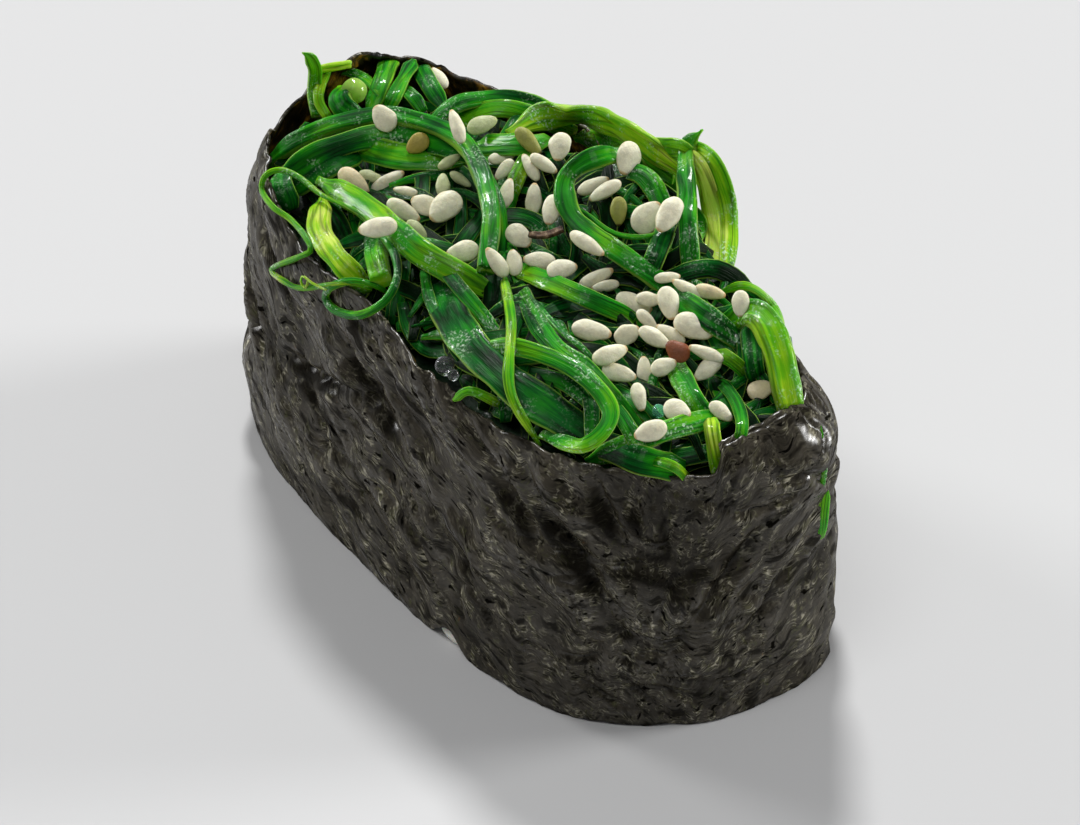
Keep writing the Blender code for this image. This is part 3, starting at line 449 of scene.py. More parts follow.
# Painted shade: the near-black colours of the heap's bottom between the strands
DEPTH_SHADE_TONES = ((0.35, (0.0008, 0.004, 0.001)), (0.7, (0.002, 0.03, 0.004)))
SEED_COLOURS = {
    "cream": ((0.9, 0.86, 0.64), (0.55, 0.34, 0.12)),
    "tan": ((0.84, 0.72, 0.46), (0.5, 0.28, 0.1)),
    "amber": ((0.42, 0.34, 0.06), (0.3, 0.2, 0.03)),
    "green": ((0.55, 0.6, 0.32), (0.45, 0.5, 0.2)),
    "olive": ((0.36, 0.37, 0.08), (0.05, 0.015, 0.006)),
    "brown": ((0.25, 0.07, 0.02), (0.12, 0.03, 0.01)),
}
SEED_MOTTLE = 0.72
SEED_GLOW = (1.0, 0.8, 0.5)
RICE_TONES = ((0.3, (0.8, 0.78, 0.7)), (0.7, (0.88, 0.86, 0.8)))
TWIG_TONES = ((0.35, (0.04, 0.02, 0.01)), (0.55, (0.16, 0.09, 0.045)), (0.75, (0.5, 0.38, 0.24)))

# Floor, sky and suns: strength, spread in degrees, and the direction that each shines from
FLOOR_HALF = 3.0
FLOOR_GREY = (0.55, 0.55, 0.55)
SKY_COLOUR = (0.96, 0.97, 1.0, 1.0)
SKY_STRENGTH = 0.2
SKY_IN_GLOSS = 0.1
SUNS = {
    "key": (2.7, 9.0, (-0.75, 0.42, 0.95)),
    "side": (1.7, 15.0, (-0.9, -0.35, 0.3)),
    "rim": (2.4, 20.0, (0.3, 0.9, 0.3)),
    "top": (0.75, 30.0, (0.2, -0.4, 1.0)),
}


def smooth_step(x):
    x = min(max(x, 0.0), 1.0)
    return x * x * (3.0 - 2.0 * x)


def between(x, start, end):
    return smooth_step((x - start) / (end - start))


def round_table(table, share):
    """The value at a share of the way round, eased between the table's entries."""
    share %= 1.0
    for (a, low), (b, high) in zip(table, table[1:] + ((table[0][0] + 1.0, table[0][1]),)):
        if a <= share < b:
            return low + (high - low) * between(share, a, b)
    return table[0][1]


def oval(angle, half):
    c, s = math.cos(angle), math.sin(angle)
    power = 2.0 / SQUARENESS
    return Vector((
        half[0] * math.copysign(abs(c) ** power, c),
        half[1] * math.copysign(abs(s) ** power, s),
        0.0,
    ))


def even_places(points, count):
    """Equal steps along a run of points: the index before each, the share of the way to the next, and
    the length of the whole run."""
    run = [0.0]
    for a, b in zip(points, points[1:]):
        run.append(run[-1] + (b - a).length)
    places, j = [], 0
    for i in range(count + 1):
        target = run[-1] * i / count
        while j < len(run) - 2 and run[j + 1] < target:
            j += 1
        places.append((j, min((target - run[j]) / max(run[j + 1] - run[j], TINY), 1.0)))
    return places, run[-1]


def even_angles(count):
    """Angles of the oval that stand at equal distances along it, and its length."""
    fine = 2 * count
    points = [oval(2.0 * math.pi * i / fine, BASE_HALF) for i in range(fine + 1)]
    places, length = even_places(points, count)
    return [2.0 * math.pi * (j + share) / fine for j, share in places], length


ROUND_STEPS = 720
ROUND_ANGLES, ROUND_LENGTH = even_angles(ROUND_STEPS)


def angle_at(share):
    place = (share % 1.0) * ROUND_STEPS
    i = int(place)
    return ROUND_ANGLES[i] + (ROUND_ANGLES[i + 1] - ROUND_ANGLES[i]) * (place - i)


def oval_half(z):
    h = min(max(z / WALL_HEIGHT, 0.0), LEAN_LIMIT)
    belly = BELLY * math.sin(math.pi * min(h, 1.0))
    return tuple(a + (b - a) * h ** LEAN_POWER + belly for a, b in zip(BASE_HALF, RIM_HALF))


def ring_place(share):
    turn = 2.0 * math.pi * share
    return Vector((math.cos(turn), math.sin(turn), 0.0)) * ROUND_LENGTH / (2.0 * math.pi)


def ripple(ring, z, pitch):
    return noise.noise(Vector((ring.x / pitch[0], ring.y / pitch[0], z / pitch[1])))


def wrinkle(share, z):
    """The wide folds and dents that the solid has too."""
    ring = ring_place(share)
    held = FOOT_WRINKLE + (1.0 - FOOT_WRINKLE) * smooth_step(z / FREE_HEIGHT)
    fold = ripple(ring, z * (1.0 + WRINKLE_SLANT), FOLD_PITCH)
    return WRINKLE * held * (fold + ripple(ring, z, DENT_PITCH))


def run_from(place, share):
    """Distance along the strip from one place to another, the shorter way round."""
    return ((share - place + 0.5) % 1.0 - 0.5) * ROUND_LENGTH


def slanted(share, z):
    """Height across the folds, which fall from both sides towards one place of the near end."""
    return z - FOLD_FALL * math.hypot(run_from(FOLD_MIDDLE, share), FOLD_SOFTNESS)


def fibre_run(share):
    """Place along the strip, run through faster at the near end, so that the fibres look shorter there."""
    strength, reach = SHORT_FIBRES
    run = share * ROUND_LENGTH
    return run + strength * reach * math.tanh((run - SHORT_FIBRES_AT * ROUND_LENGTH) / reach)


def from_segment(u, z, a, b):
    """Distance of a place from the run between two others, and how near to the run's middle that is."""
    along = (b[0] - a[0], b[1] - a[1])
    t = ((u - a[0]) * along[0] + (z - a[1]) * along[1]) / (along[0] ** 2 + along[1] ** 2)
    t = min(max(t, 0.0), 1.0)
    return math.hypot(u - a[0] - t * along[0], z - a[1] - t * along[1]), 4.0 * t * (1.0 - t)


def single_creases(share, z):
    """The named creases: a sharp valley with a soft lip beside it, wandering and fading to its ends."""
    ring = ring_place(share)
    wobble = CREASE_WOBBLE * ripple(ring, z, CREASE_WOBBLE_PITCH)
    relief = 0.0
    for start, end, depth, width in CREASES:
        from_start = run_from(start[0], share)
        run = (end[0] - start[0]) * ROUND_LENGTH
        if not -CREASE_MARGIN < from_start < run + CREASE_MARGIN:
            continue
        apart, middle = from_segment(from_start, z + wobble, (0.0, start[1]), (run, end[1]))
        depth *= CREASE_ENDS + (1.0 - CREASE_ENDS) * middle
        relief -= depth * math.exp(-apart / width)
        relief += CREASE_LIP * depth * math.exp(-((apart - CREASE_LIP_AT * width) / width) ** 2)
    return relief


def fine_relief(share, z):
    """Long soft folds, sharp creases in patches and small puckers, all lying along the slant."""
    ring = ring_place(share) + RELIEF_PLACE
    level = slanted(share, z) + WANDER * ripple(ring, z, WANDER_PITCH)
    fold = ripple(ring, level, LONG_FOLD_PITCH)
    crease = max(1.0 - CREASE_SHARPNESS * abs(ripple(ring, level + CREASE_PLACE, CREASE_PITCH)), 0.0)
    patchy = smooth_step(0.5 + CREASE_PATCH * ripple(ring, z, CREASE_PATCH_PITCH))
    fine_pitch = tuple(pitch / FINER for pitch in PUCKER_PITCH)
    pucker = ripple(ring, level, PUCKER_PITCH) + FINE_PUCKER * ripple(ring, level, fine_pitch)
    relief = LONG_FOLD_DEPTH * fold - CREASE_DEPTH * patchy * crease ** 3 + single_creases(share, z)
    return min(relief, RELIEF_TOP + RELIEF_LEFT * (relief - RELIEF_TOP)) + PUCKER_DEPTH * pucker


def swell(share, place):
    centre, reach, height = place
    return height * smooth_step(1.0 - abs(share % 1.0 - centre) / reach)


def fray(share, which):
    """How far a cut edge of the strip is nibbled back at a place."""
    ring = ring_place(share) / FRAY_PITCH
    place = Vector((ring.x, ring.y, which))
    ragged = noise.noise(place) + 0.5 * noise.noise(FINER * place)
    return FRAY_DEPTH * (0.5 + ragged)


def wrap_point(share, up, fine=0.0):
    """A point of the wrap's middle surface: a share of the way round, and a share of the way up it."""
    top = round_table(RIM_HEIGHTS, share) - fine * max(fray(share, RIM_FRAY), 0.0)
    curl = math.radians(round_table(RIM_CURLS, share))
    low = swell(share, LIFTED_EDGE) + fine * max(fray(share, FOOT_FRAY), 0.0)
    run = low + (top - low) * up
    straight = min(run, top - CURL_LENGTH)
    z, inward = straight, 0.0
    piece = (run - straight) / CURL_STEPS
    for i in range(CURL_STEPS):
        turned = curl * smooth_step(piece * (i + 0.5) / CURL_LENGTH)
        z += math.cos(turned) * piece
        inward += math.sin(turned) * piece
    angle, half = angle_at(share), oval_half(z)
    here, ahead = oval(angle, half), oval(angle + ANGLE_STEP, half)
    along = (ahead - here).normalized()
    outward = Vector((along.y, -along.x, 0.0))
    layer = LAYER_STEP * (
        smooth_step((share - (1.0 + OVERLAP_START - OVERLAP_RAMP)) / OVERLAP_RAMP)
        - smooth_step((OVERLAP_END + OVERLAP_RAMP - share) / OVERLAP_RAMP)
    )
    out = wrinkle(share, z) + layer - inward - swell(share, NEAR_CORNER)
    if fine:
        held = FOOT_RELIEF + (1.0 - FOOT_RELIEF) * smooth_step(z / FOOT_RELIEF_HEIGHT)
        out += fine * held * fine_relief(share, z)
    return here + outward * out + Vector((0.0, 0.0, z))


def wrap_surface(columns, rows, fine=0.0):
    """The strip as a flat grid bent round the oval, with its place along and across the strip as its UV."""
    bm = bmesh.new()
    bmesh.ops.create_grid(bm, x_segments=columns, y_segments=rows, size=0.5)
    uv = bm.loops.layers.uv.new("strip")
    relief = bm.verts.layers.float.new("relief")
    first, last = OVERLAP_START, 1.0 + OVERLAP_END

    def place(flat):
        return first + (last - first) * (flat.x + 0.5), flat.y + 0.5

    for face in bm.faces:
        for loop in face.loops:
            share, up = place(loop.vert.co)
            loop[uv].uv = (fibre_run(share), slanted(share, up * WALL_HEIGHT))
    for v in bm.verts:
        share, up = place(v.co)
        if fine:
            v[relief] = fine_relief(share, up * WALL_HEIGHT)
        v.co = wrap_point(share, up, fine)
    return bm


def heap_reach(x, y):
    reach = abs(x / RIM_HALF[0]) ** SQUARENESS + abs(y / RIM_HALF[1]) ** SQUARENESS
    return reach ** (1.0 / SQUARENESS)


def heap_height(x, y):
    open_share = max(1.0 - heap_reach(x, y) ** HEAP_FULLNESS, 0.0)
    from_ridge = ((place - middle) / spread for place, middle, spread in zip((x, y), RIDGE_AT, RIDGE_SPREAD))
    ridge = math.exp(-sum(distance ** 2 for distance in from_ridge))
    far_end = FAR_RISE * between(x, *FAR_RISE_FROM)
    crown = HEAP_CROWN * open_share + RIDGE_HEIGHT * ridge * min(1.0, RIDGE_FADE * open_share)
    return HEAP_EDGE + crown + far_end


def heap_surface():
    """Points and faces of the heap's top out to the rim, to look along."""
    columns, rows = HEAP_STEPS
    points, faces = [], []
    for j in range(rows + 1):
        for i in range(columns + 1):
            x = RIM_HALF[0] * (2.0 * i / columns - 1.0)
            y = RIM_HALF[1] * (2.0 * j / rows - 1.0)
            shrink = min(1.0, HEAP_LIMIT / max(heap_reach(x, y), TINY))
            x, y = x * shrink, y * shrink
            points.append(Vector((x, y, heap_height(x, y))))
    for j in range(rows):
        for i in range(columns):
            a = j * (columns + 1) + i
            faces.append((a, a + 1, a + columns + 2, a + columns + 1))
    return points, faces


def add_screen(points, faces):
    """An upright screen inside the far half of the rim, where strands stand up against the sky."""
    for i in range(SCREEN_STEPS):
        ends = [oval(2.0 * math.pi * k / SCREEN_STEPS, RIM_HALF) * SCREEN_INSET for k in (i, i + 1)]
        along = ends[1] - ends[0]
        if Vector((along.y, -along.x, 0.0)).dot(EYE) > 0.0:
            continue
        first = len(points)
        for end in ends:
            points += [end + Vector((0.0, 0.0, HEAP_EDGE)), end + Vector((0.0, 0.0, SCREEN_TOP))]
        faces.append((first, first + 2, first + 3, first + 1))


def add_faces(bm, points, faces):
    """Adds what a bmesh has to the points and faces of a look-up tree."""
    bm.verts.index_update()
    first = len(points)
    points += [v.co.copy() for v in bm.verts]
    faces += [tuple(first + v.index for v in f.verts) for f in bm.faces]


def tree_of(*bms):
    """One look-up tree of several bmeshes."""
    points, faces = [], []
    for bm in bms:
        add_faces(bm, points, faces)
    return BVHTree.FromPolygons(points, faces)


def guide_tree():
    """What the layout's sight lines meet: the heap's top, the outside of the wrap and the screen."""
    points, faces = heap_surface()
    add_screen(points, faces)
    bm = wrap_surface(*GUIDE_STEPS)
    add_faces(bm, points, faces)
    bm.free()
    return BVHTree.FromPolygons(points, faces)


def view_axes():
    """Forward, right and up as the view has them."""
    forward = (AIM - EYE).normalized()
    right = forward.cross(Vector((0.0, 0.0, 1.0))).normalized()
    return forward, right, right.cross(forward)


def sight_line(across, down):
    """The direction in which a place of the picture is seen, and the view's own."""
    forward, right, up = view_axes()
    ray = forward * PIXELS_PER_SLOPE + right * (across - PICTURE[0] / 2) - up * (down - PICTURE[1] / 2)
    return ray.normalized(), forward


def seen_at(point):
    """Where in the picture a point is seen."""
    forward, right, up = view_axes()
    ray = (point - EYE) * PIXELS_PER_SLOPE / (point - EYE).dot(forward)
    return PICTURE[0] / 2 + ray.dot(right), PICTURE[1] / 2 - ray.dot(up)


def in_gap(point):
    across, down = seen_at(point)
    return KEPT_CLEAR[0] < across < KEPT_CLEAR[2] and KEPT_CLEAR[1] < down < KEPT_CLEAR[3]


def seen_points(tree, seen):
    """The layout's points in space. A sight line that meets nothing keeps its neighbour's distance."""
    forward = view_axes()[0]
    rays = [sight_line(across, down)[0] for across, down, _ in seen]
    hits = [tree.ray_cast(EYE, ray)[0] for ray in rays]
    known = {i: (hit - EYE).dot(forward) for i, hit in enumerate(hits) if hit is not None}
    points = []
    for i, (ray, (_, _, lift)) in enumerate(zip(rays, seen)):
        depth = known[min(known, key=lambda k: abs(k - i))]
        lift -= ROOT_DEPTH if lift <= 0.0 else 0.0
        points.append(EYE + ray * ((depth - lift) / ray.dot(forward)))
    return points


def curve_through(points, step):
    """Evenly spaced points of a smooth curve through the given ones."""
    padded = [2 * points[0] - points[1], *points, 2 * points[-1] - points[-2]]
    fine = []
    for a, b, c, d in zip(padded, padded[1:], padded[2:], padded[3:]):
        for k in range(SPAN_PIECES):
            t = k / SPAN_PIECES
            fine.append(0.5 * (2 * b + (c - a) * t + (2 * a - 5 * b + 4 * c - d) * t * t
                               + (3 * b - a - 3 * c + d) * t ** 3))
    fine.append(points[-1])
    length = sum((b - a).length for a, b in zip(fine, fine[1:]))
    places, _ = even_places(fine, max(3, round(length / step)))
    return [fine[j].lerp(fine[j + 1], share) for j, share in places]


def strand_normals(tree, points):
    """The outward direction of the form under each point, turned towards the eye and smoothed."""
    raw = []
    for point in points:
        normal = tree.find_nearest(point)[1]
        to_eye = (EYE - point).normalized()
        raw.append((normal if normal.dot(to_eye) >= 0.0 else -normal) + to_eye)
    windows = (raw[max(i - NORMAL_WINDOW, 0):i + NORMAL_WINDOW + 1] for i in range(len(raw)))
    return [sum(window, Vector()).normalized() for window in windows]


# Strand sections


STALK_POWER = 0.7
CHANNEL_DEPTH = 0.34
CHANNEL_HALF = 0.42
BLADE_POWERS = (0.8, 0.7)
BLADE_EDGE = 0.5
BLADE_TURNS_UP = 0.5
BLADE_LEVEL = 0.4


def squared(value, power):
    return math.copysign(abs(value) ** power, value)


def stalk_section(turn):
    """A squarish stalk with a channel along its top."""
    across, up = squared(math.cos(turn), STALK_POWER), squared(math.sin(turn), STALK_POWER)
    channel = CHANNEL_DEPTH * math.exp(-(across / CHANNEL_HALF) ** 2) if up > 0.0 else 0.0
    return across, up * (1.0 - channel)


def blade_section(turn):
    """A flat blade, a little thicker in the middle, whose edges turn up."""
    across, up = squared(math.cos(turn), BLADE_POWERS[0]), squared(math.sin(turn), BLADE_POWERS[1])
    thick = BLADE_EDGE + (1.0 - BLADE_EDGE) * (1.0 - across * across)
    return across, up * thick + BLADE_TURNS_UP * (across * across - BLADE_LEVEL)


def tendril_section(turn):
    return math.cos(turn), math.sin(turn)


# By kind: the section, its sides, and how wide the first and the last end are
KINDS = {
    "stalk": (stalk_section, 20, (0.75, 0.95)), "horn": (stalk_section, 20, (0.12, 0.95)),
    "blade": (blade_section, 16, (0.35, 0.6)), "tendril": (tendril_section, 8, (0.4, 0.5)),
}


def keep_inside(walls, bm, from_y):
    """Draws back inside the wall what would stick out through it beyond from_y, short of the overlap."""
    for v in bm.verts:
        x, y = v.co.x, v.co.y
        if y < from_y or x > NEAR_END:
            continue
        outward = Vector((x * abs(x) / RIM_HALF[0] ** 3, y * abs(y) / RIM_HALF[1] ** 3, 0.0)).normalized()
        hit = walls.ray_cast(v.co, -outward, WALL_REACH)[0]
        if hit is not None:
            v.co = hit - outward * WALL_GAP


class StrandMesh:
    """Many strands in one mesh, each with its tone, and with across and along as UV.

    The run goes on from one strand to the next, so that each has streaks of its own.
    """

    def __init__(self):
        self.bm = bmesh.new()
        self.uv = self.bm.loops.layers.uv.new("strand")
        self.tone = self.bm.verts.layers.float.new("tone")
        self.edge = self.bm.verts.layers.float.new("edge")
        self.run = 0.0

    def add(self, points, normals, width, flatness, tone, kind, rng):
        section, sides, tips = KINDS[kind]
        phase = Vector((rng.uniform(*PHASES), rng.uniform(*PHASES), 0.0))
        rings, runs = [], []
        twist = rng.uniform(-TWIST, TWIST)
        lean = rng.uniform(-SHADE_LEAN, SHADE_LEAN)
        for i, point in enumerate(points):
            before, after = points[max(i - 1, 0)], points[min(i + 1, len(points) - 1)]
            along = (after - before).normalized()
            up = (normals[i] - along * normals[i].dot(along)).normalized()
            side = along.cross(up)
            share = i / (len(points) - 1)
            turned = twist + TURNING[0] * noise.noise(phase + Vector((0.0, 0.0, self.run / TURNING[1])))
            cos, sin = math.cos(turned), math.sin(turned)
            up, side = up * cos + side * sin, side * cos - up * sin
            ends = zip(tips, (share, 1.0 - share))
            taper = min(tip + (1.0 - tip) * smooth_step(TIP_RISE * away) for tip, away in ends)
            swell_place = Vector((self.run / SWELLING[1], 0.0, SWELLING[2]))
            half = 0.5 * width * taper * (1.0 + SWELLING[0] * noise.noise(phase + swell_place))
            thick = max(half * flatness, LEAST_THICK)
            shade_place = Vector((0.0, self.run / SHADING[1], SHADING[2]))
            shade = tone + SHADING[0] * noise.noise(phase + shade_place)
            ring = []
            for k in range(sides):
                turn = 2.0 * math.pi * k / sides
                across, high = section(turn)
                wave = noise.noise(phase + Vector((EDGE_WAVE[1] * across, 0.0, self.run / EDGE_WAVE[2])))
                lifted = thick * high + EDGE_WAVE[0] * half * across * wave
                vert = self.bm.verts.new(point + side * half * across + up * lifted)
                vert[self.tone] = shade + lean * across
                vert[self.edge] = abs(across)
                ring.append(vert)
            rings.append(ring)
            runs.append(self.run)
            self.run += (after - before).length / 2.0
        for j, (ring, following) in enumerate(zip(rings, rings[1:])):
            for k in range(sides):
                beside = k + 1 - sides
                face = self.bm.faces.new((ring[k], ring[beside], following[beside], following[k]))
                face.smooth = True
                across = (k / sides, (k + 1) / sides, (k + 1) / sides, k / sides)
                for loop, u, v in zip(face.loops, across, (runs[j], runs[j], runs[j + 1], runs[j + 1])):
                    loop[self.uv].uv = (u, v)
        for ring, outward in ((rings[0], -1.0), (rings[-1], 1.0)):
            self.cap(ring, outward)
        self.run += STRAND_APART

    def cap(self, ring, outward):
        """Closes an end with a dished cut face."""
        centre = sum((v.co for v in ring), Vector()) / len(ring)
        middle = self.bm.verts.new(centre)
        middle[self.tone] = ring[0][self.tone] + CUT_TONE
        middle[self.edge] = CUT_EDGE
        for a, b in zip(ring, ring[1:] + ring[:1]):
            corners = (middle, b, a) if outward < 0.0 else (middle, a, b)
            face = self.bm.faces.new(corners)
            for loop in face.loops:
                loop[self.uv].uv = (0.5, self.run)


def put_piece(bm, name, material, slot, *nodes):
    """The bmesh, in millimetres, as a piece in metres that rides on the root body."""
    bmesh.ops.scale(bm, vec=(MM, MM, MM), verts=bm.verts)
    mesh = bpy.data.meshes.new(name)
    bm.to_mesh(mesh)
    bm.free()
    mesh.materials.append(material)
    piece = bpy.data.objects.new(name, mesh)
    bpy.context.scene.collection.objects.link(piece)
    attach(piece, "root")
    if nodes:
        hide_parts(*nodes)
    return piece


# Materials


class Nodes:
    """Short names for making and linking shader nodes."""

    def __init__(self, name):
        self.material = bpy.data.materials.new(name)
        self.material.use_nodes = True
        self.tree = self.material.node_tree
        self.shader = self.tree.nodes["Principled BSDF"]

    def add(self, kind, links=None, **values):
        node = self.tree.nodes.new(kind)
        for key, value in values.items():
            setattr(node, key, value)
        for socket, value in (links or {}).items():
            self.feed(node, socket, value)
        return node

    def feed(self, node, socket, value):
        if isinstance(value, bpy.types.NodeSocket):
            self.tree.links.new(value, node.inputs[socket])
        elif isinstance(value, bpy.types.Node):
            self.tree.links.new(value.outputs[0], node.inputs[socket])
        else:
            node.inputs[socket].default_value = value

    def attribute(self, name):
        return self.add("ShaderNodeAttribute", attribute_name=name).outputs["Fac"]

    def stretched(self, source, scale):
        return self.add("ShaderNodeVectorMath", {0: source, 1: scale}, operation="MULTIPLY")

    def noise(self, vector, scale, detail=4.0, roughness=0.55):
        links = {"Vector": vector, "Scale": scale, "Detail": detail, "Roughness": roughness}
        return self.add("ShaderNodeTexNoise", links).outputs["Fac"]

    def ramp(self, factor, *stops):
        node = self.add("ShaderNodeValToRGB", {"Fac": factor})
        while len(node.color_ramp.elements) < len(stops):
            node.color_ramp.elements.new(1.0)
        for element, (place, colour) in zip(node.color_ramp.elements, stops):
            element.position = place
            element.color = (*colour, 1.0) if isinstance(colour, tuple) else (colour, colour, colour, 1.0)
        return node.outputs["Color"]

    def mix(self, factor, a, b, blend="MIX"):
        node = self.add("ShaderNodeMix", data_type="RGBA", blend_type=blend)
        for index, value in ((0, factor), (6, a), (7, b)):
            if isinstance(value, tuple):
                value = (*value, 1.0)
            if isinstance(value, bpy.types.NodeSocket):
                self.tree.links.new(value, node.inputs[index])
            else:
                node.inputs[index].default_value = value
        return node.outputs[2]

    def between(self, value, given, made):
        """The value, taken from the given range to the made one."""
        links = {0: value, 1: given[0], 2: given[1], 3: made[0], 4: made[1]}
        return self.add("ShaderNodeMapRange", links).outputs[0]

    def math(self, operation, a, b=0.0):
        return self.add("ShaderNodeMath", {0: a, 1: b}, operation=operation).outputs[0]

    def scaled(self, value, share):
        return self.math("MULTIPLY", value, share)

    def centred(self, value, reach):
        """The value less a half, times the reach."""
        return self.scaled(self.math("SUBTRACT", value, 0.5), reach)

    def line(self, value, width):
        """1 along the thin lines where the value crosses a half, and 0 away from them."""
        return self.ramp(self.math("ABSOLUTE", self.math("SUBTRACT", value, 0.5)), (0.0, 1.0), (width, 0.0))

    def warped(self, vector, scale, reach):
        """The vector pushed about by a noise of its own."""
        push = self.add("ShaderNodeTexNoise", {"Vector": vector, "Scale": scale}).outputs["Color"]
        links = {0: push, 1: (reach, reach, 0.0), 2: vector}
        return self.add("ShaderNodeVectorMath", links, operation="MULTIPLY_ADD").outputs[0]

    def bump(self, height, strength, distance, under=None):
        links = {"Height": height, "Strength": strength, "Distance": distance}
        if under:
            links["Normal"] = under
        return self.add("ShaderNodeBump", links).outputs["Normal"]

    def set(self, **values):
        for name, value in values.items():
            socket = name.replace("_", " ")
            self.feed(self.shader, socket, (*value, 1.0) if isinstance(value, tuple) else value)


def object_place(nodes):
    return nodes.add("ShaderNodeTexCoord").outputs["Object"]


def strip_place(nodes):
    return nodes.add("ShaderNodeUVMap", uv_map="strip").outputs["UV"]


def nori_material():
    """Near-black sheet of pressed fibres: creases, fold valleys and pits darkened to black as painted shade,
    pale wisps that are partly painted highlight, olive and rust flecks, and a wet shine in spots on what
    stands out."""
    nodes = Nodes("nori_sheet")
    strip = strip_place(nodes)
    swirled = nodes.warped(nodes.warped(strip, 0.16, 4.5), 0.8, 0.4)

    def fibres(lengthwise, across, detail=1.0):
        return nodes.noise(nodes.stretched(swirled, (lengthwise, across, 1.0)), 1.0, detail, 0.5)

    folds = fibres(0.28, 1.05, 2.0)
    grooves = nodes.line(fibres(0.24, 0.95, 2.0), 0.06)
    grain = fibres(1.3, 5.0, 4.0)
    wisps = nodes.line(fibres(0.6, 2.3), 0.055)
    hairs = nodes.line(fibres(1.5, 5.2), 0.12)
    pits = nodes.ramp(fibres(0.5, 1.7, 3.0), (0.64, 0.0), (0.68, 1.0))
    clumps = nodes.noise(swirled, 0.35, 3.0, 0.5)
    broken = nodes.ramp(nodes.noise(strip, 0.9, 4.0, 0.6), (0.46, 0.0), (0.62, 1.0))
    coarse = nodes.ramp(nodes.noise(strip, 0.28, 2.0), (0.44, 0.15), (0.58, 1.0))
    sheet = nodes.ramp(clumps, *NORI_SHEET)
    streaks = nodes.scaled(nodes.ramp(grain, (0.5, 0.0), (0.72, 0.5)), coarse)
    streaky = nodes.mix(streaks, sheet, NORI_STREAK)
    olive_spots = nodes.ramp(nodes.noise(swirled, 0.8, 6.0, 0.7), (0.57, 0.0), (0.68, 0.7))
    olive = nodes.mix(olive_spots, streaky, NORI_OLIVE)
    rust_spots = nodes.ramp(nodes.noise(strip, 0.55, 6.0, 0.75), (0.65, 0.0), (0.72, 0.8))
    rusty = nodes.mix(rust_spots, olive, NORI_RUST)
    patchy = nodes.scaled(broken, coarse)
    # Pale wisps of fibre; their brightness is partly painted highlight where the fibres catch the light
    wisps_and_highlight = nodes.mix(nodes.scaled(nodes.scaled(wisps, patchy), 0.9), rusty, NORI_WISP_AND_HIGHLIGHT)
    hairy = nodes.mix(nodes.scaled(nodes.scaled(hairs, patchy), 0.4), wisps_and_highlight, NORI_HAIR)
    relief = nodes.attribute("relief")
    # Painted shade: the colour darkens towards black where the relief is low, in the valleys of the folds
    # and in the grooves
    low = nodes.between(relief, (-0.7, -0.05), (0.85, 0.0))
    high = nodes.between(relief, (-0.1, 0.4), (0.1, 0.8))
    fold_shade = nodes.ramp(folds, (0.36, 0.75), (0.47, 0.0))
    deep = nodes.math("MAXIMUM", fold_shade, nodes.math("MAXIMUM", nodes.scaled(grooves, broken), low))
    hollow_shaded = nodes.mix(deep, hairy, NORI_HOLLOW_SHADE)
    # Painted shade: the pits are coloured black
    colour = nodes.mix(nodes.scaled(pits, 0.9), hollow_shaded, NORI_PIT_SHADE)
    wet_spots = nodes.ramp(fibres(1.5, 4.2, 2.0), (0.5, 0.0), (0.6, 1.0))
    wetness = nodes.math("ADD", nodes.scaled(nodes.scaled(high, wet_spots), 0.85), 0.4)
    shut = nodes.math("MAXIMUM", deep, pits)
    shine = nodes.scaled(wetness, nodes.math("SUBTRACT", 1.0, shut))
    nodes.set(
        Base_Color=colour, Roughness=0.6, Specular_IOR_Level=0.0,
        Coat_Weight=shine, Coat_Roughness=0.24, Coat_IOR=1.6,
    )
    raised = nodes.scaled(nodes.math("ADD", grain, nodes.scaled(wisps, 0.3)), coarse)
    pitted = nodes.math("SUBTRACT", raised, nodes.scaled(pits, 0.9))
    wavy = nodes.bump(nodes.math("SUBTRACT", folds, nodes.scaled(grooves, 0.12)), 0.8, 0.0008)
    rough = nodes.bump(pitted, 0.5, 0.00013, wavy)
    nodes.set(Normal=nodes.bump(hairs, 0.3, 0.00006, rough))
    return nodes.material


def nori_inside_material():
    """The inner side of the sheet, mottled brown and near-black, with amber patches painted as glow of light
    coming through it.
    """
    nodes = Nodes("nori_inside")
    strip = nodes.warped(strip_place(nodes), 0.5, 1.0)
    blotch = nodes.noise(strip, 0.45, 6.0, 0.7)
    # Painted glow: the amber stops stand for light shining through the sheet, in random patches
    colour = nodes.ramp(blotch, *NORI_INSIDE_AND_GLOW)
    nodes.set(Base_Color=colour, Roughness=0.32, Normal=nodes.bump(blotch, 0.6, 0.0003))
    return nodes.material


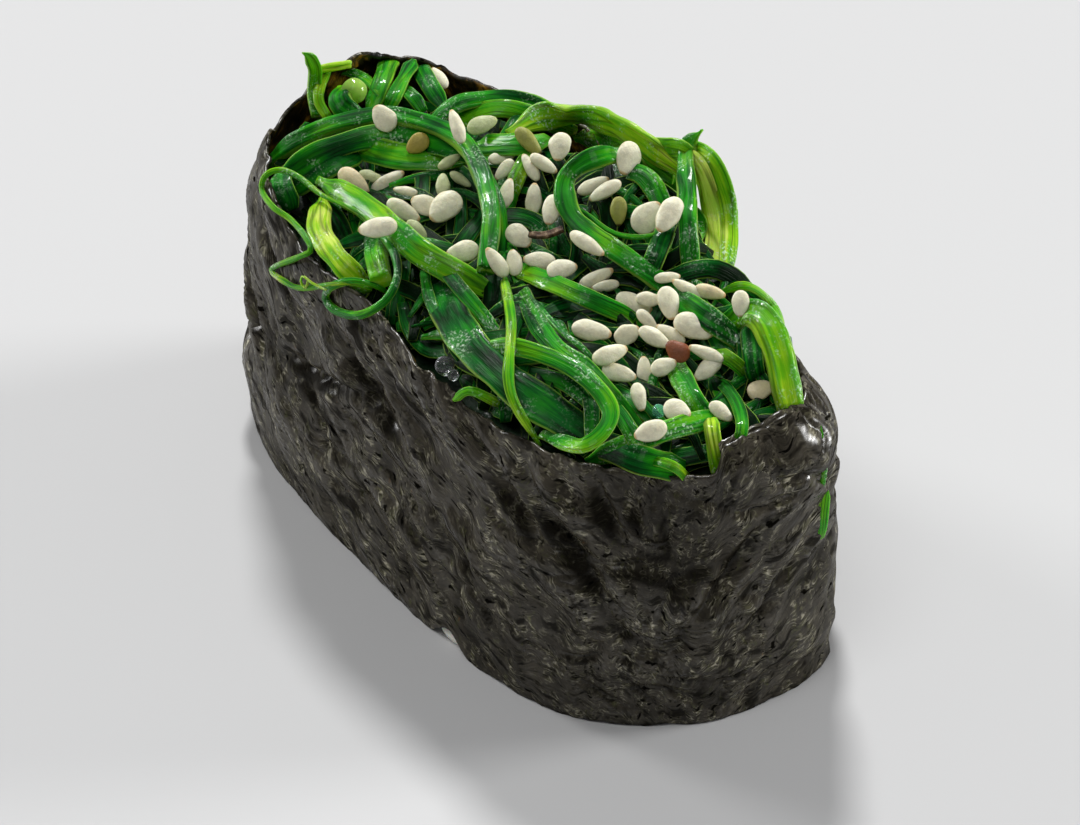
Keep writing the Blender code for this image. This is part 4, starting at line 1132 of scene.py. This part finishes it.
def strand_material():
    """Wet seaweed: deep to yellow-green by strand, pale edges painted as glow of light through them,
    streaks, and patches of speckled gloss with painted white glints.
    """
    nodes = Nodes("seaweed_strand")
    uv = nodes.add("ShaderNodeUVMap", uv_map="strand").outputs["UV"]
    place = object_place(nodes)
    streak = nodes.noise(nodes.stretched(uv, (16.0, 0.14, 1.0)), 1.0, 4.0, 0.6)
    cloud = nodes.noise(place, 380.0, 3.0)
    drift = nodes.math("ADD", nodes.centred(streak, 0.85), nodes.centred(cloud, 0.35))
    tone = nodes.math("ADD", nodes.attribute("tone"), drift)
    body = nodes.ramp(tone, *STRAND_TONES)
    veins = nodes.line(nodes.noise(nodes.stretched(uv, (6.0, 0.08, 1.0)), 1.0, 2.0, 0.5), 0.06)
    veined = nodes.mix(nodes.scaled(veins, 0.6), body, STRAND_VEIN)
    # The pale edges are painted glow of light shining through the thin edges; cut ends, marked as edges, get
    # the same paler colour
    pale = nodes.mix(0.6, body, STRAND_EDGE_GLOW_AND_CUT)
    edge_glowed = nodes.mix(nodes.ramp(nodes.attribute("edge"), (0.88, 0.0), (0.99, 0.8)), veined, pale)
    on_top = nodes.ramp(nodes.attribute("tone"), (0.1, 0.03), (0.36, 1.0))
    patches = nodes.ramp(nodes.noise(place, 330.0, 3.0, 0.6), (0.5, 0.0), (0.6, 1.0))
    speck = nodes.ramp(nodes.noise(place, 4200.0, 2.0, 0.6), (0.46, 0.0), (0.6, 1.0))
    # Painted highlight: white glint flecks in the gloss patches, most on the strands of higher tone
    flecks = nodes.ramp(nodes.noise(place, 4600.0, 1.0, 0.5), (0.55, 0.0), (0.65, 0.5))
    painted_glints = nodes.scaled(flecks, nodes.scaled(patches, on_top))
    glint_painted = nodes.mix(painted_glints, edge_glowed, STRAND_PAINTED_GLINT)
    wet = nodes.scaled(nodes.ramp(patches, (0.0, 0.2), (1.0, 0.85)), on_top)
    nodes.set(
        Base_Color=glint_painted, Roughness=0.42, Specular_IOR_Level=0.05, Subsurface_Weight=0.35,
        Subsurface_Scale=0.001, Coat_Weight=wet, Coat_Roughness=0.05, Coat_IOR=1.4,
    )
    nodes.shader.inputs["Subsurface Radius"].default_value = STRAND_GLOW
    ribs = nodes.bump(streak, 0.7, 0.00022)
    smooth = nodes.bump(streak, 0.25, 0.0001)
    speckled = nodes.bump(nodes.scaled(speck, patches), 0.7, 0.00006, smooth)
    nodes.set(Normal=ribs, Coat_Normal=speckled)
    return nodes.material


def depth_shade_material():
    """The bottom of the heap, seen between the strands, painted near-black as shade."""
    nodes = Nodes("seaweed_depth_shade")
    cloud = nodes.noise(object_place(nodes), 420.0, 5.0)
    colour = nodes.ramp(cloud, *DEPTH_SHADE_TONES)
    nodes.set(Base_Color=colour, Roughness=0.35, Normal=nodes.bump(cloud, 0.8, 0.0005))
    return nodes.material


def seed_material(name, body, rim):
    """A hulled sesame seed: smooth cream skin, faintly mottled, darker at its edge and point."""
    nodes = Nodes(f"seed_{name}")
    place = object_place(nodes)
    mottle = nodes.noise(place, 1300.0, 6.0, 0.7)
    tip = nodes.attribute("tip")
    darker = tuple(c * SEED_MOTTLE for c in body)
    skin = nodes.mix(nodes.ramp(mottle, (0.4, 0.0), (0.68, 0.85)), body, darker)
    colour = nodes.mix(nodes.ramp(tip, (0.55, 0.0), (1.0, 0.85)), skin, rim)
    nodes.set(
        Base_Color=colour, Roughness=0.36, Specular_IOR_Level=0.4, Subsurface_Weight=0.25,
        Subsurface_Scale=0.0008, Normal=nodes.bump(mottle, 0.6, 0.00022),
    )
    nodes.shader.inputs["Subsurface Radius"].default_value = SEED_GLOW
    return nodes.material


def rice_material():
    nodes = Nodes("rice_grain")
    mottle = nodes.noise(object_place(nodes), 500.0, 4.0)
    nodes.set(
        Base_Color=nodes.ramp(mottle, *RICE_TONES), Roughness=0.35, Subsurface_Weight=0.3,
        Subsurface_Scale=0.001, Normal=nodes.bump(mottle, 0.2, 0.0001),
    )
    return nodes.material


def twig_material():
    nodes = Nodes("brown_twig")
    bark = nodes.noise(object_place(nodes), 2200.0, 5.0)
    colour = nodes.ramp(bark, *TWIG_TONES)
    nodes.set(Base_Color=colour, Roughness=0.7, Normal=nodes.bump(bark, 0.8, 0.0002))
    return nodes.material


# Pieces


def make_wrap():
    """The strip, with its inner side as a material of its own; gives back its walls to look along."""
    bm = wrap_surface(SHEET_COLUMNS, SHEET_ROWS, 1.0)
    for face in bm.faces:
        face.smooth = True
    bmesh.ops.recalc_face_normals(bm, faces=bm.faces)
    walls = tree_of(bm)
    wrap = put_piece(bm, "nori_sheet", nori_material(), "nori", "nori")
    wrap.data.materials.append(nori_inside_material())
    shell = wrap.modifiers.new("thickness", "SOLIDIFY")
    shell.thickness = SHEET_THICK * MM
    shell.offset = 0.0
    shell.material_offset = 1
    return walls


def make_strands(tree, rng):
    """The strands of the picture, each where it is seen."""
    strands = StrandMesh()
    for _, width, flatness, tone, kind, seen in STRANDS:
        points = curve_through(seen_points(tree, seen), SECTION_STEP)
        strands.add(points, strand_normals(tree, points), width, flatness, tone, kind, rng)
    return strands


def tangle_route(rng, depth):
    """A loose strand that wanders over the heap, mostly lengthwise, at a depth of its own."""
    x, y = (rng.uniform(*span) for span in TANGLE_FIELD)
    heading = rng.gauss(0.0, TANGLE_HEADING)
    bend = rng.uniform(-TANGLE_BEND, TANGLE_BEND)
    rise = rng.uniform(*NEARLY_ROUND)
    points = []
    while len(points) < TANGLE_POINTS[1] and heap_reach(x, y) < TANGLE_LIMIT:
        bob = TANGLE_BOB * math.sin(rise + TANGLE_BOB_TURN * len(points))
        points.append(Vector((x, y, heap_height(x, y) + depth + bob)))
        x += TANGLE_STEP * math.cos(heading)
        y += TANGLE_STEP * math.sin(heading)
        heading += bend
    return points


def make_tangle(tree, rng):
    """Loose strands at random, clear of the one gap that the picture shows."""
    strands = StrandMesh()
    made = 0
    while made < TANGLE_STRANDS:
        depth = rng.uniform(*TANGLE_DEPTHS)
        route = tangle_route(rng, depth)
        if len(route) < TANGLE_POINTS[0] or any(in_gap(point) for point in route):
            continue
        points = curve_through(route, TANGLE_SECTION_STEP)
        width = rng.uniform(*TANGLE_WIDTHS)
        # Painted shade: deeper strands get a darker tone
        tone = TANGLE_TONE + TANGLE_SHADE_BY_DEPTH * depth + rng.gauss(0.0, TANGLE_TONE_SPREAD)
        kind = "tendril" if width < TANGLE_THIN else "blade"
        flatness = rng.uniform(*TANGLE_FLATNESS)
        strands.add(points, strand_normals(tree, points), width, flatness, tone, kind, rng)
        made += 1
    return strands


def make_core():
    """A mound that closes the view under the tangle; its material paints it near-black as shade."""
    points, faces = heap_surface()
    bm = bmesh.new()
    verts = []
    for point in points:
        lump = sum(height * noise.noise(point * fineness) for height, fineness in CORE_LUMPS)
        place = (point.x * CORE_SHARE, point.y * CORE_SHARE, point.z - CORE_SUNK + lump)
        verts.append(bm.verts.new(place))
    for face in faces:
        bm.faces.new([verts[i] for i in face]).smooth = True
    bmesh.ops.remove_doubles(bm, verts=bm.verts, dist=WELD)
    bmesh.ops.recalc_face_normals(bm, faces=bm.faces)
    return bm


def add_ball(bm, segments, radius):
    """Adds a ball to a bmesh and gives back its vertices."""
    round_it, along_it = segments
    return bmesh.ops.create_uvsphere(bm, u_segments=round_it, v_segments=along_it, radius=radius)["verts"]


def seed_matrix(tree, guide, ends, placed):
    """Matrix that lays a unit seed where its two ends are seen, on the nearest thing under it."""
    blunt, pointed, width, lift = ends[:2], ends[2:4], ends[4], ends[5:]
    middle = [(a + b) / 2.0 for a, b in zip(blunt, pointed)]
    ray, forward = sight_line(*middle)
    hit, normal, _, _ = tree.ray_cast(EYE, ray)
    if hit is None or lift:
        hit, normal, _, _ = guide.ray_cast(EYE, ray)
    depth = (hit - EYE).dot(forward)
    nearest = depth
    for end in (blunt, pointed):
        line, _ = sight_line(*(SEED_LOOK * a + (1.0 - SEED_LOOK) * b for a, b in zip(end, middle)))
        other = tree.ray_cast(EYE, line)[0]
        if other is not None:
            nearest = min(nearest, (other - EYE).dot(forward))
    nearest = depth - lift[0] if lift else max(nearest, depth - SEED_CLIMB)
    hit = EYE + ray * (nearest / ray.dot(forward))
    crowd = sum((hit - other).length < SEED_CROWD for other in placed)
    hit -= forward * SEED_PILE * min(crowd, 2)
    placed.append(hit)
    normal = (normal if normal.dot(ray) < 0 else -normal).lerp(-forward, SEED_FACING).normalized()
    tips = []
    for end in (blunt, pointed):
        line, _ = sight_line(*end)
        tips.append(EYE + line * ((hit - EYE).dot(normal) / line.dot(normal)))
    along = tips[1] - tips[0]
    length = min(max(along.length, SEED_LENGTHS[0]), SEED_LENGTHS[1])
    along = (along - normal * along.dot(normal)).normalized()
    side = normal.cross(along)
    turn = Matrix((along, side, normal)).transposed().to_4x4()
    width = length * min(max(width, SEED_WIDTHS[0]), SEED_WIDTHS[1])
    thick = SEED_THICK * length
    size = Matrix.Diagonal((length / 2.0, width / 2.0, thick, 1.0))
    return Matrix.Translation(hit + normal * SEED_RAISED * thick) @ turn @ size


def random_seed_matrix(rng):
    """A seed lying somewhere on the side of the heap that faces away."""
    x, y = (rng.uniform(*span) for span in BACK_SEED_FIELD)
    height = heap_height(x, y) + BACK_SEED_LIFT
    turn = Matrix.Rotation(rng.uniform(*NEARLY_ROUND), 4, "Z")
    roll = Matrix.Rotation(rng.uniform(-BACK_SEED_ROLL, BACK_SEED_ROLL), 4, "X")
    tilt = Matrix.Rotation(BACK_SEED_TILT, 4, "X")
    size = Matrix.Diagonal((*BACK_SEED_HALF, 1.0))
    return Matrix.Translation((x, y, height)) @ tilt @ (turn @ roll) @ size


def add_seed(bm, matrix, rng):
    """A flat drop with a thin rim, drawn out to a point at +X, slightly dented."""
    made = add_ball(bm, SEED_SEGMENTS, 1.0)
    tip = bm.verts.layers.float["tip"]
    phase = Vector((rng.uniform(*SEED_DRAWS), 0.0, 0.0))
    for v in made:
        y, z, x = v.co
        narrow = 1.0 - SEED_TAPER * between(x, *SEED_TAPERS)
        narrow *= max(1.0 - x * x, SEED_SHARPEST) ** SEED_SHOULDER
        dent = 1.0 + SEED_DENT * noise.noise(phase + Vector((x, y, z)) * SEED_DENT_FINENESS)
        nub = SEED_NUB * between(x, *SEED_NUB_AT)
        v[tip] = max(between(x, *SEED_TIP_AT), SEED_RIM_DARK * between(math.hypot(x, y), *SEED_RIM_AT))
        high = SEED_THIN_RIM + (1.0 - SEED_THIN_RIM) * narrow
        v.co = matrix @ Vector((x + nub, y * narrow * dent, z * high * dent))
    for face in {f for v in made for f in v.link_faces}:
        face.smooth = True


def make_seeds(tree, guide, walls, rng):
    """The seeds of the picture, one piece for each colour, and some cream ones on the side not seen."""
    placed = []
    for name, places in SEEDS.items():
        bm = bmesh.new()
        bm.verts.layers.float.new("tip")
        matrices = [seed_matrix(tree, guide, ends, placed) for ends in places]
        if name == "cream":
            hidden = [random_seed_matrix(rng) for _ in range(BACK_SEEDS)]
            matrices += [matrix for matrix in hidden if not in_gap(matrix.translation)]
        for matrix in matrices:
            add_seed(bm, matrix, rng)
        keep_inside(walls, bm, FAR_SIDE)
        put_piece(bm, f"sesame_{name}", seed_material(name, *SEED_COLOURS[name]), "seaweed", "salad")


def make_twig(tree, rng):
    strands = StrandMesh()
    points = curve_through(seen_points(tree, TWIG), TWIG_STEP)
    strands.add(points, strand_normals(tree, points), TWIG_WIDTH, TWIG_THICK, 0.0, "stalk", rng)
    put_piece(strands.bm, "twig", twig_material(), "seaweed", "salad")


def drop_material(name, colour, clearness):
    """Jelly or water: a clear share lets the strands behind show through."""
    nodes = Nodes(name)
    nodes.set(Base_Color=colour, Roughness=0.03, IOR=1.34, Transmission_Weight=clearness)
    return nodes.material


def make_drops(tree):
    """The pale ball on the stem at the far end, the clear blob at the near rim and a small bubble."""
    for name, seen, radius, colour, clearness in DROPS:
        bm = bmesh.new()
        bmesh.ops.create_icosphere(bm, subdivisions=4, radius=radius)
        centre = seen_points(tree, (seen,))[0]
        for v in bm.verts:
            v.co *= 1.0 + DROP_DENT * noise.noise(v.co * DROP_DENT_FINENESS + centre)
            v.co += centre
        for face in bm.faces:
            face.smooth = True
        put_piece(bm, name, drop_material(name, colour, clearness), "seaweed", "salad")


def make_rice():
    """A block inside the wrap, with grains on its underside that lie flat on the board."""
    bm = bmesh.new()
    rng = random.Random(RICE_DRAWS)
    bmesh.ops.create_cone(bm, cap_ends=True, segments=RICE_SIDES, radius1=1.0, radius2=1.0, depth=1.0)
    for v in bm.verts:
        z = RICE_FOOT if v.co.z < 0.0 else RICE_TOP
        half = [h - RICE_INSET for h in oval_half(z)]
        v.co = oval(math.atan2(v.co.y, v.co.x), half) + Vector((0.0, 0.0, z))
    for row in range(-GRAIN_ROWS, GRAIN_ROWS + 1):
        for column in range(-GRAIN_ROWS, GRAIN_ROWS + 1):
            x = (column + (row % 2) / 2.0) * GRAIN_PITCH[0] + rng.uniform(-GRAIN_STRAY[0], GRAIN_STRAY[0])
            y = row * GRAIN_PITCH[1] + rng.uniform(-GRAIN_STRAY[1], GRAIN_STRAY[1])
            reach = sum(abs(place / half) ** SQUARENESS for place, half in zip((x, y), GRAIN_FIELD))
            if reach < 1.0:
                add_grain(bm, Vector((x, y, 0.0)), rng.uniform(0.0, math.pi), rng)
    peek = oval(angle_at(LIFTED_EDGE[0]), BASE_HALF) + Vector((0.0, PEEK_INSET, 0.0))
    add_grain(bm, peek, PEEK_HEADING, rng)
    for face in bm.faces:
        face.smooth = len(face.verts) < 5
    put_piece(bm, "rice_grains", rice_material(), "rice", "rice")


def add_grain(bm, spot, heading, rng):
    """A plump grain pressed flat on the board."""
    made = add_ball(bm, GRAIN_SEGMENTS, 0.5)
    size = [length * rng.uniform(*GRAIN_VARIES) for length in GRAIN_SIZE]
    turn = Matrix.Rotation(heading, 3, "Z")
    for v in made:
        x, y, z = v.co.z * size[0], v.co.x * size[1], v.co.y * size[2]
        v.co = spot + turn @ Vector((x, y, z)) + Vector((0.0, 0.0, GRAIN_RISE))
        v.co.z = max(v.co.z, 0.0)


def make_stage():
    """A pale floor, pale surroundings and the suns."""
    floor = bpy.data.meshes.new("floor")
    corners = [(x * FLOOR_HALF, y * FLOOR_HALF, 0.0) for x, y in ((-1, -1), (1, -1), (1, 1), (-1, 1))]
    floor.from_pydata(corners, [], [(0, 1, 2, 3)])
    material = Nodes("floor")
    material.set(Base_Color=FLOOR_GREY, Roughness=0.9, Specular_IOR_Level=0.1)
    floor.materials.append(material.material)
    plane = bpy.data.objects.new("floor", floor)
    bpy.context.scene.collection.objects.link(plane)
    world = bpy.data.worlds.new("surroundings")
    world.use_nodes = True
    background = world.node_tree.nodes["Background"]
    background.inputs["Color"].default_value = SKY_COLOUR
    path = world.node_tree.nodes.new("ShaderNodeLightPath")
    strength = world.node_tree.nodes.new("ShaderNodeMapRange")
    strength.inputs["To Min"].default_value = SKY_STRENGTH
    strength.inputs["To Max"].default_value = SKY_IN_GLOSS
    world.node_tree.links.new(path.outputs["Is Glossy Ray"], strength.inputs["Value"])
    world.node_tree.links.new(strength.outputs["Result"], background.inputs["Strength"])
    bpy.context.scene.world = world
    for name, (energy, spread, direction) in SUNS.items():
        lamp = bpy.data.lights.new(name, "SUN")
        lamp.energy = energy
        lamp.angle = math.radians(spread)
        sun = bpy.data.objects.new(name, lamp)
        sun.rotation_euler = Vector(direction).to_track_quat("Z", "Y").to_euler()
        bpy.context.scene.collection.objects.link(sun)


def make_camera():
    camera = bpy.data.cameras.new("camera")
    camera.lens = LENS
    camera.sensor_width = SENSOR
    camera.clip_start = 0.01
    holder = bpy.data.objects.new("camera", camera)
    holder.location = EYE * MM
    holder.rotation_euler = (AIM - EYE).to_track_quat("-Z", "Y").to_euler()
    bpy.context.scene.collection.objects.link(holder)
    bpy.context.scene.camera = holder


def main():
    rng = random.Random(SALAD_DRAWS)
    make_camera()
    make_stage()
    bpy.context.scene.view_settings.view_transform = "Standard"
    walls = make_wrap()
    make_rice()
    guide = guide_tree()
    strands = make_strands(guide, rng)
    tangle = make_tangle(guide, rng)
    core = make_core()
    keep_inside(walls, strands.bm, FAR_SIDE)
    keep_inside(walls, tangle.bm, ALL_ROUND)
    keep_inside(walls, core, ALL_ROUND)
    lying_on = tree_of(strands.bm, tangle.bm, core)
    make_seeds(lying_on, guide, walls, rng)
    make_twig(guide, rng)
    make_drops(guide)
    seaweed = strand_material()
    put_piece(strands.bm, "salad_strands", seaweed, "seaweed", "salad")
    put_piece(tangle.bm, "salad_tangle", seaweed, "seaweed", "salad")
    put_piece(core, "salad_depth", depth_shade_material(), "seaweed", "salad")


main()
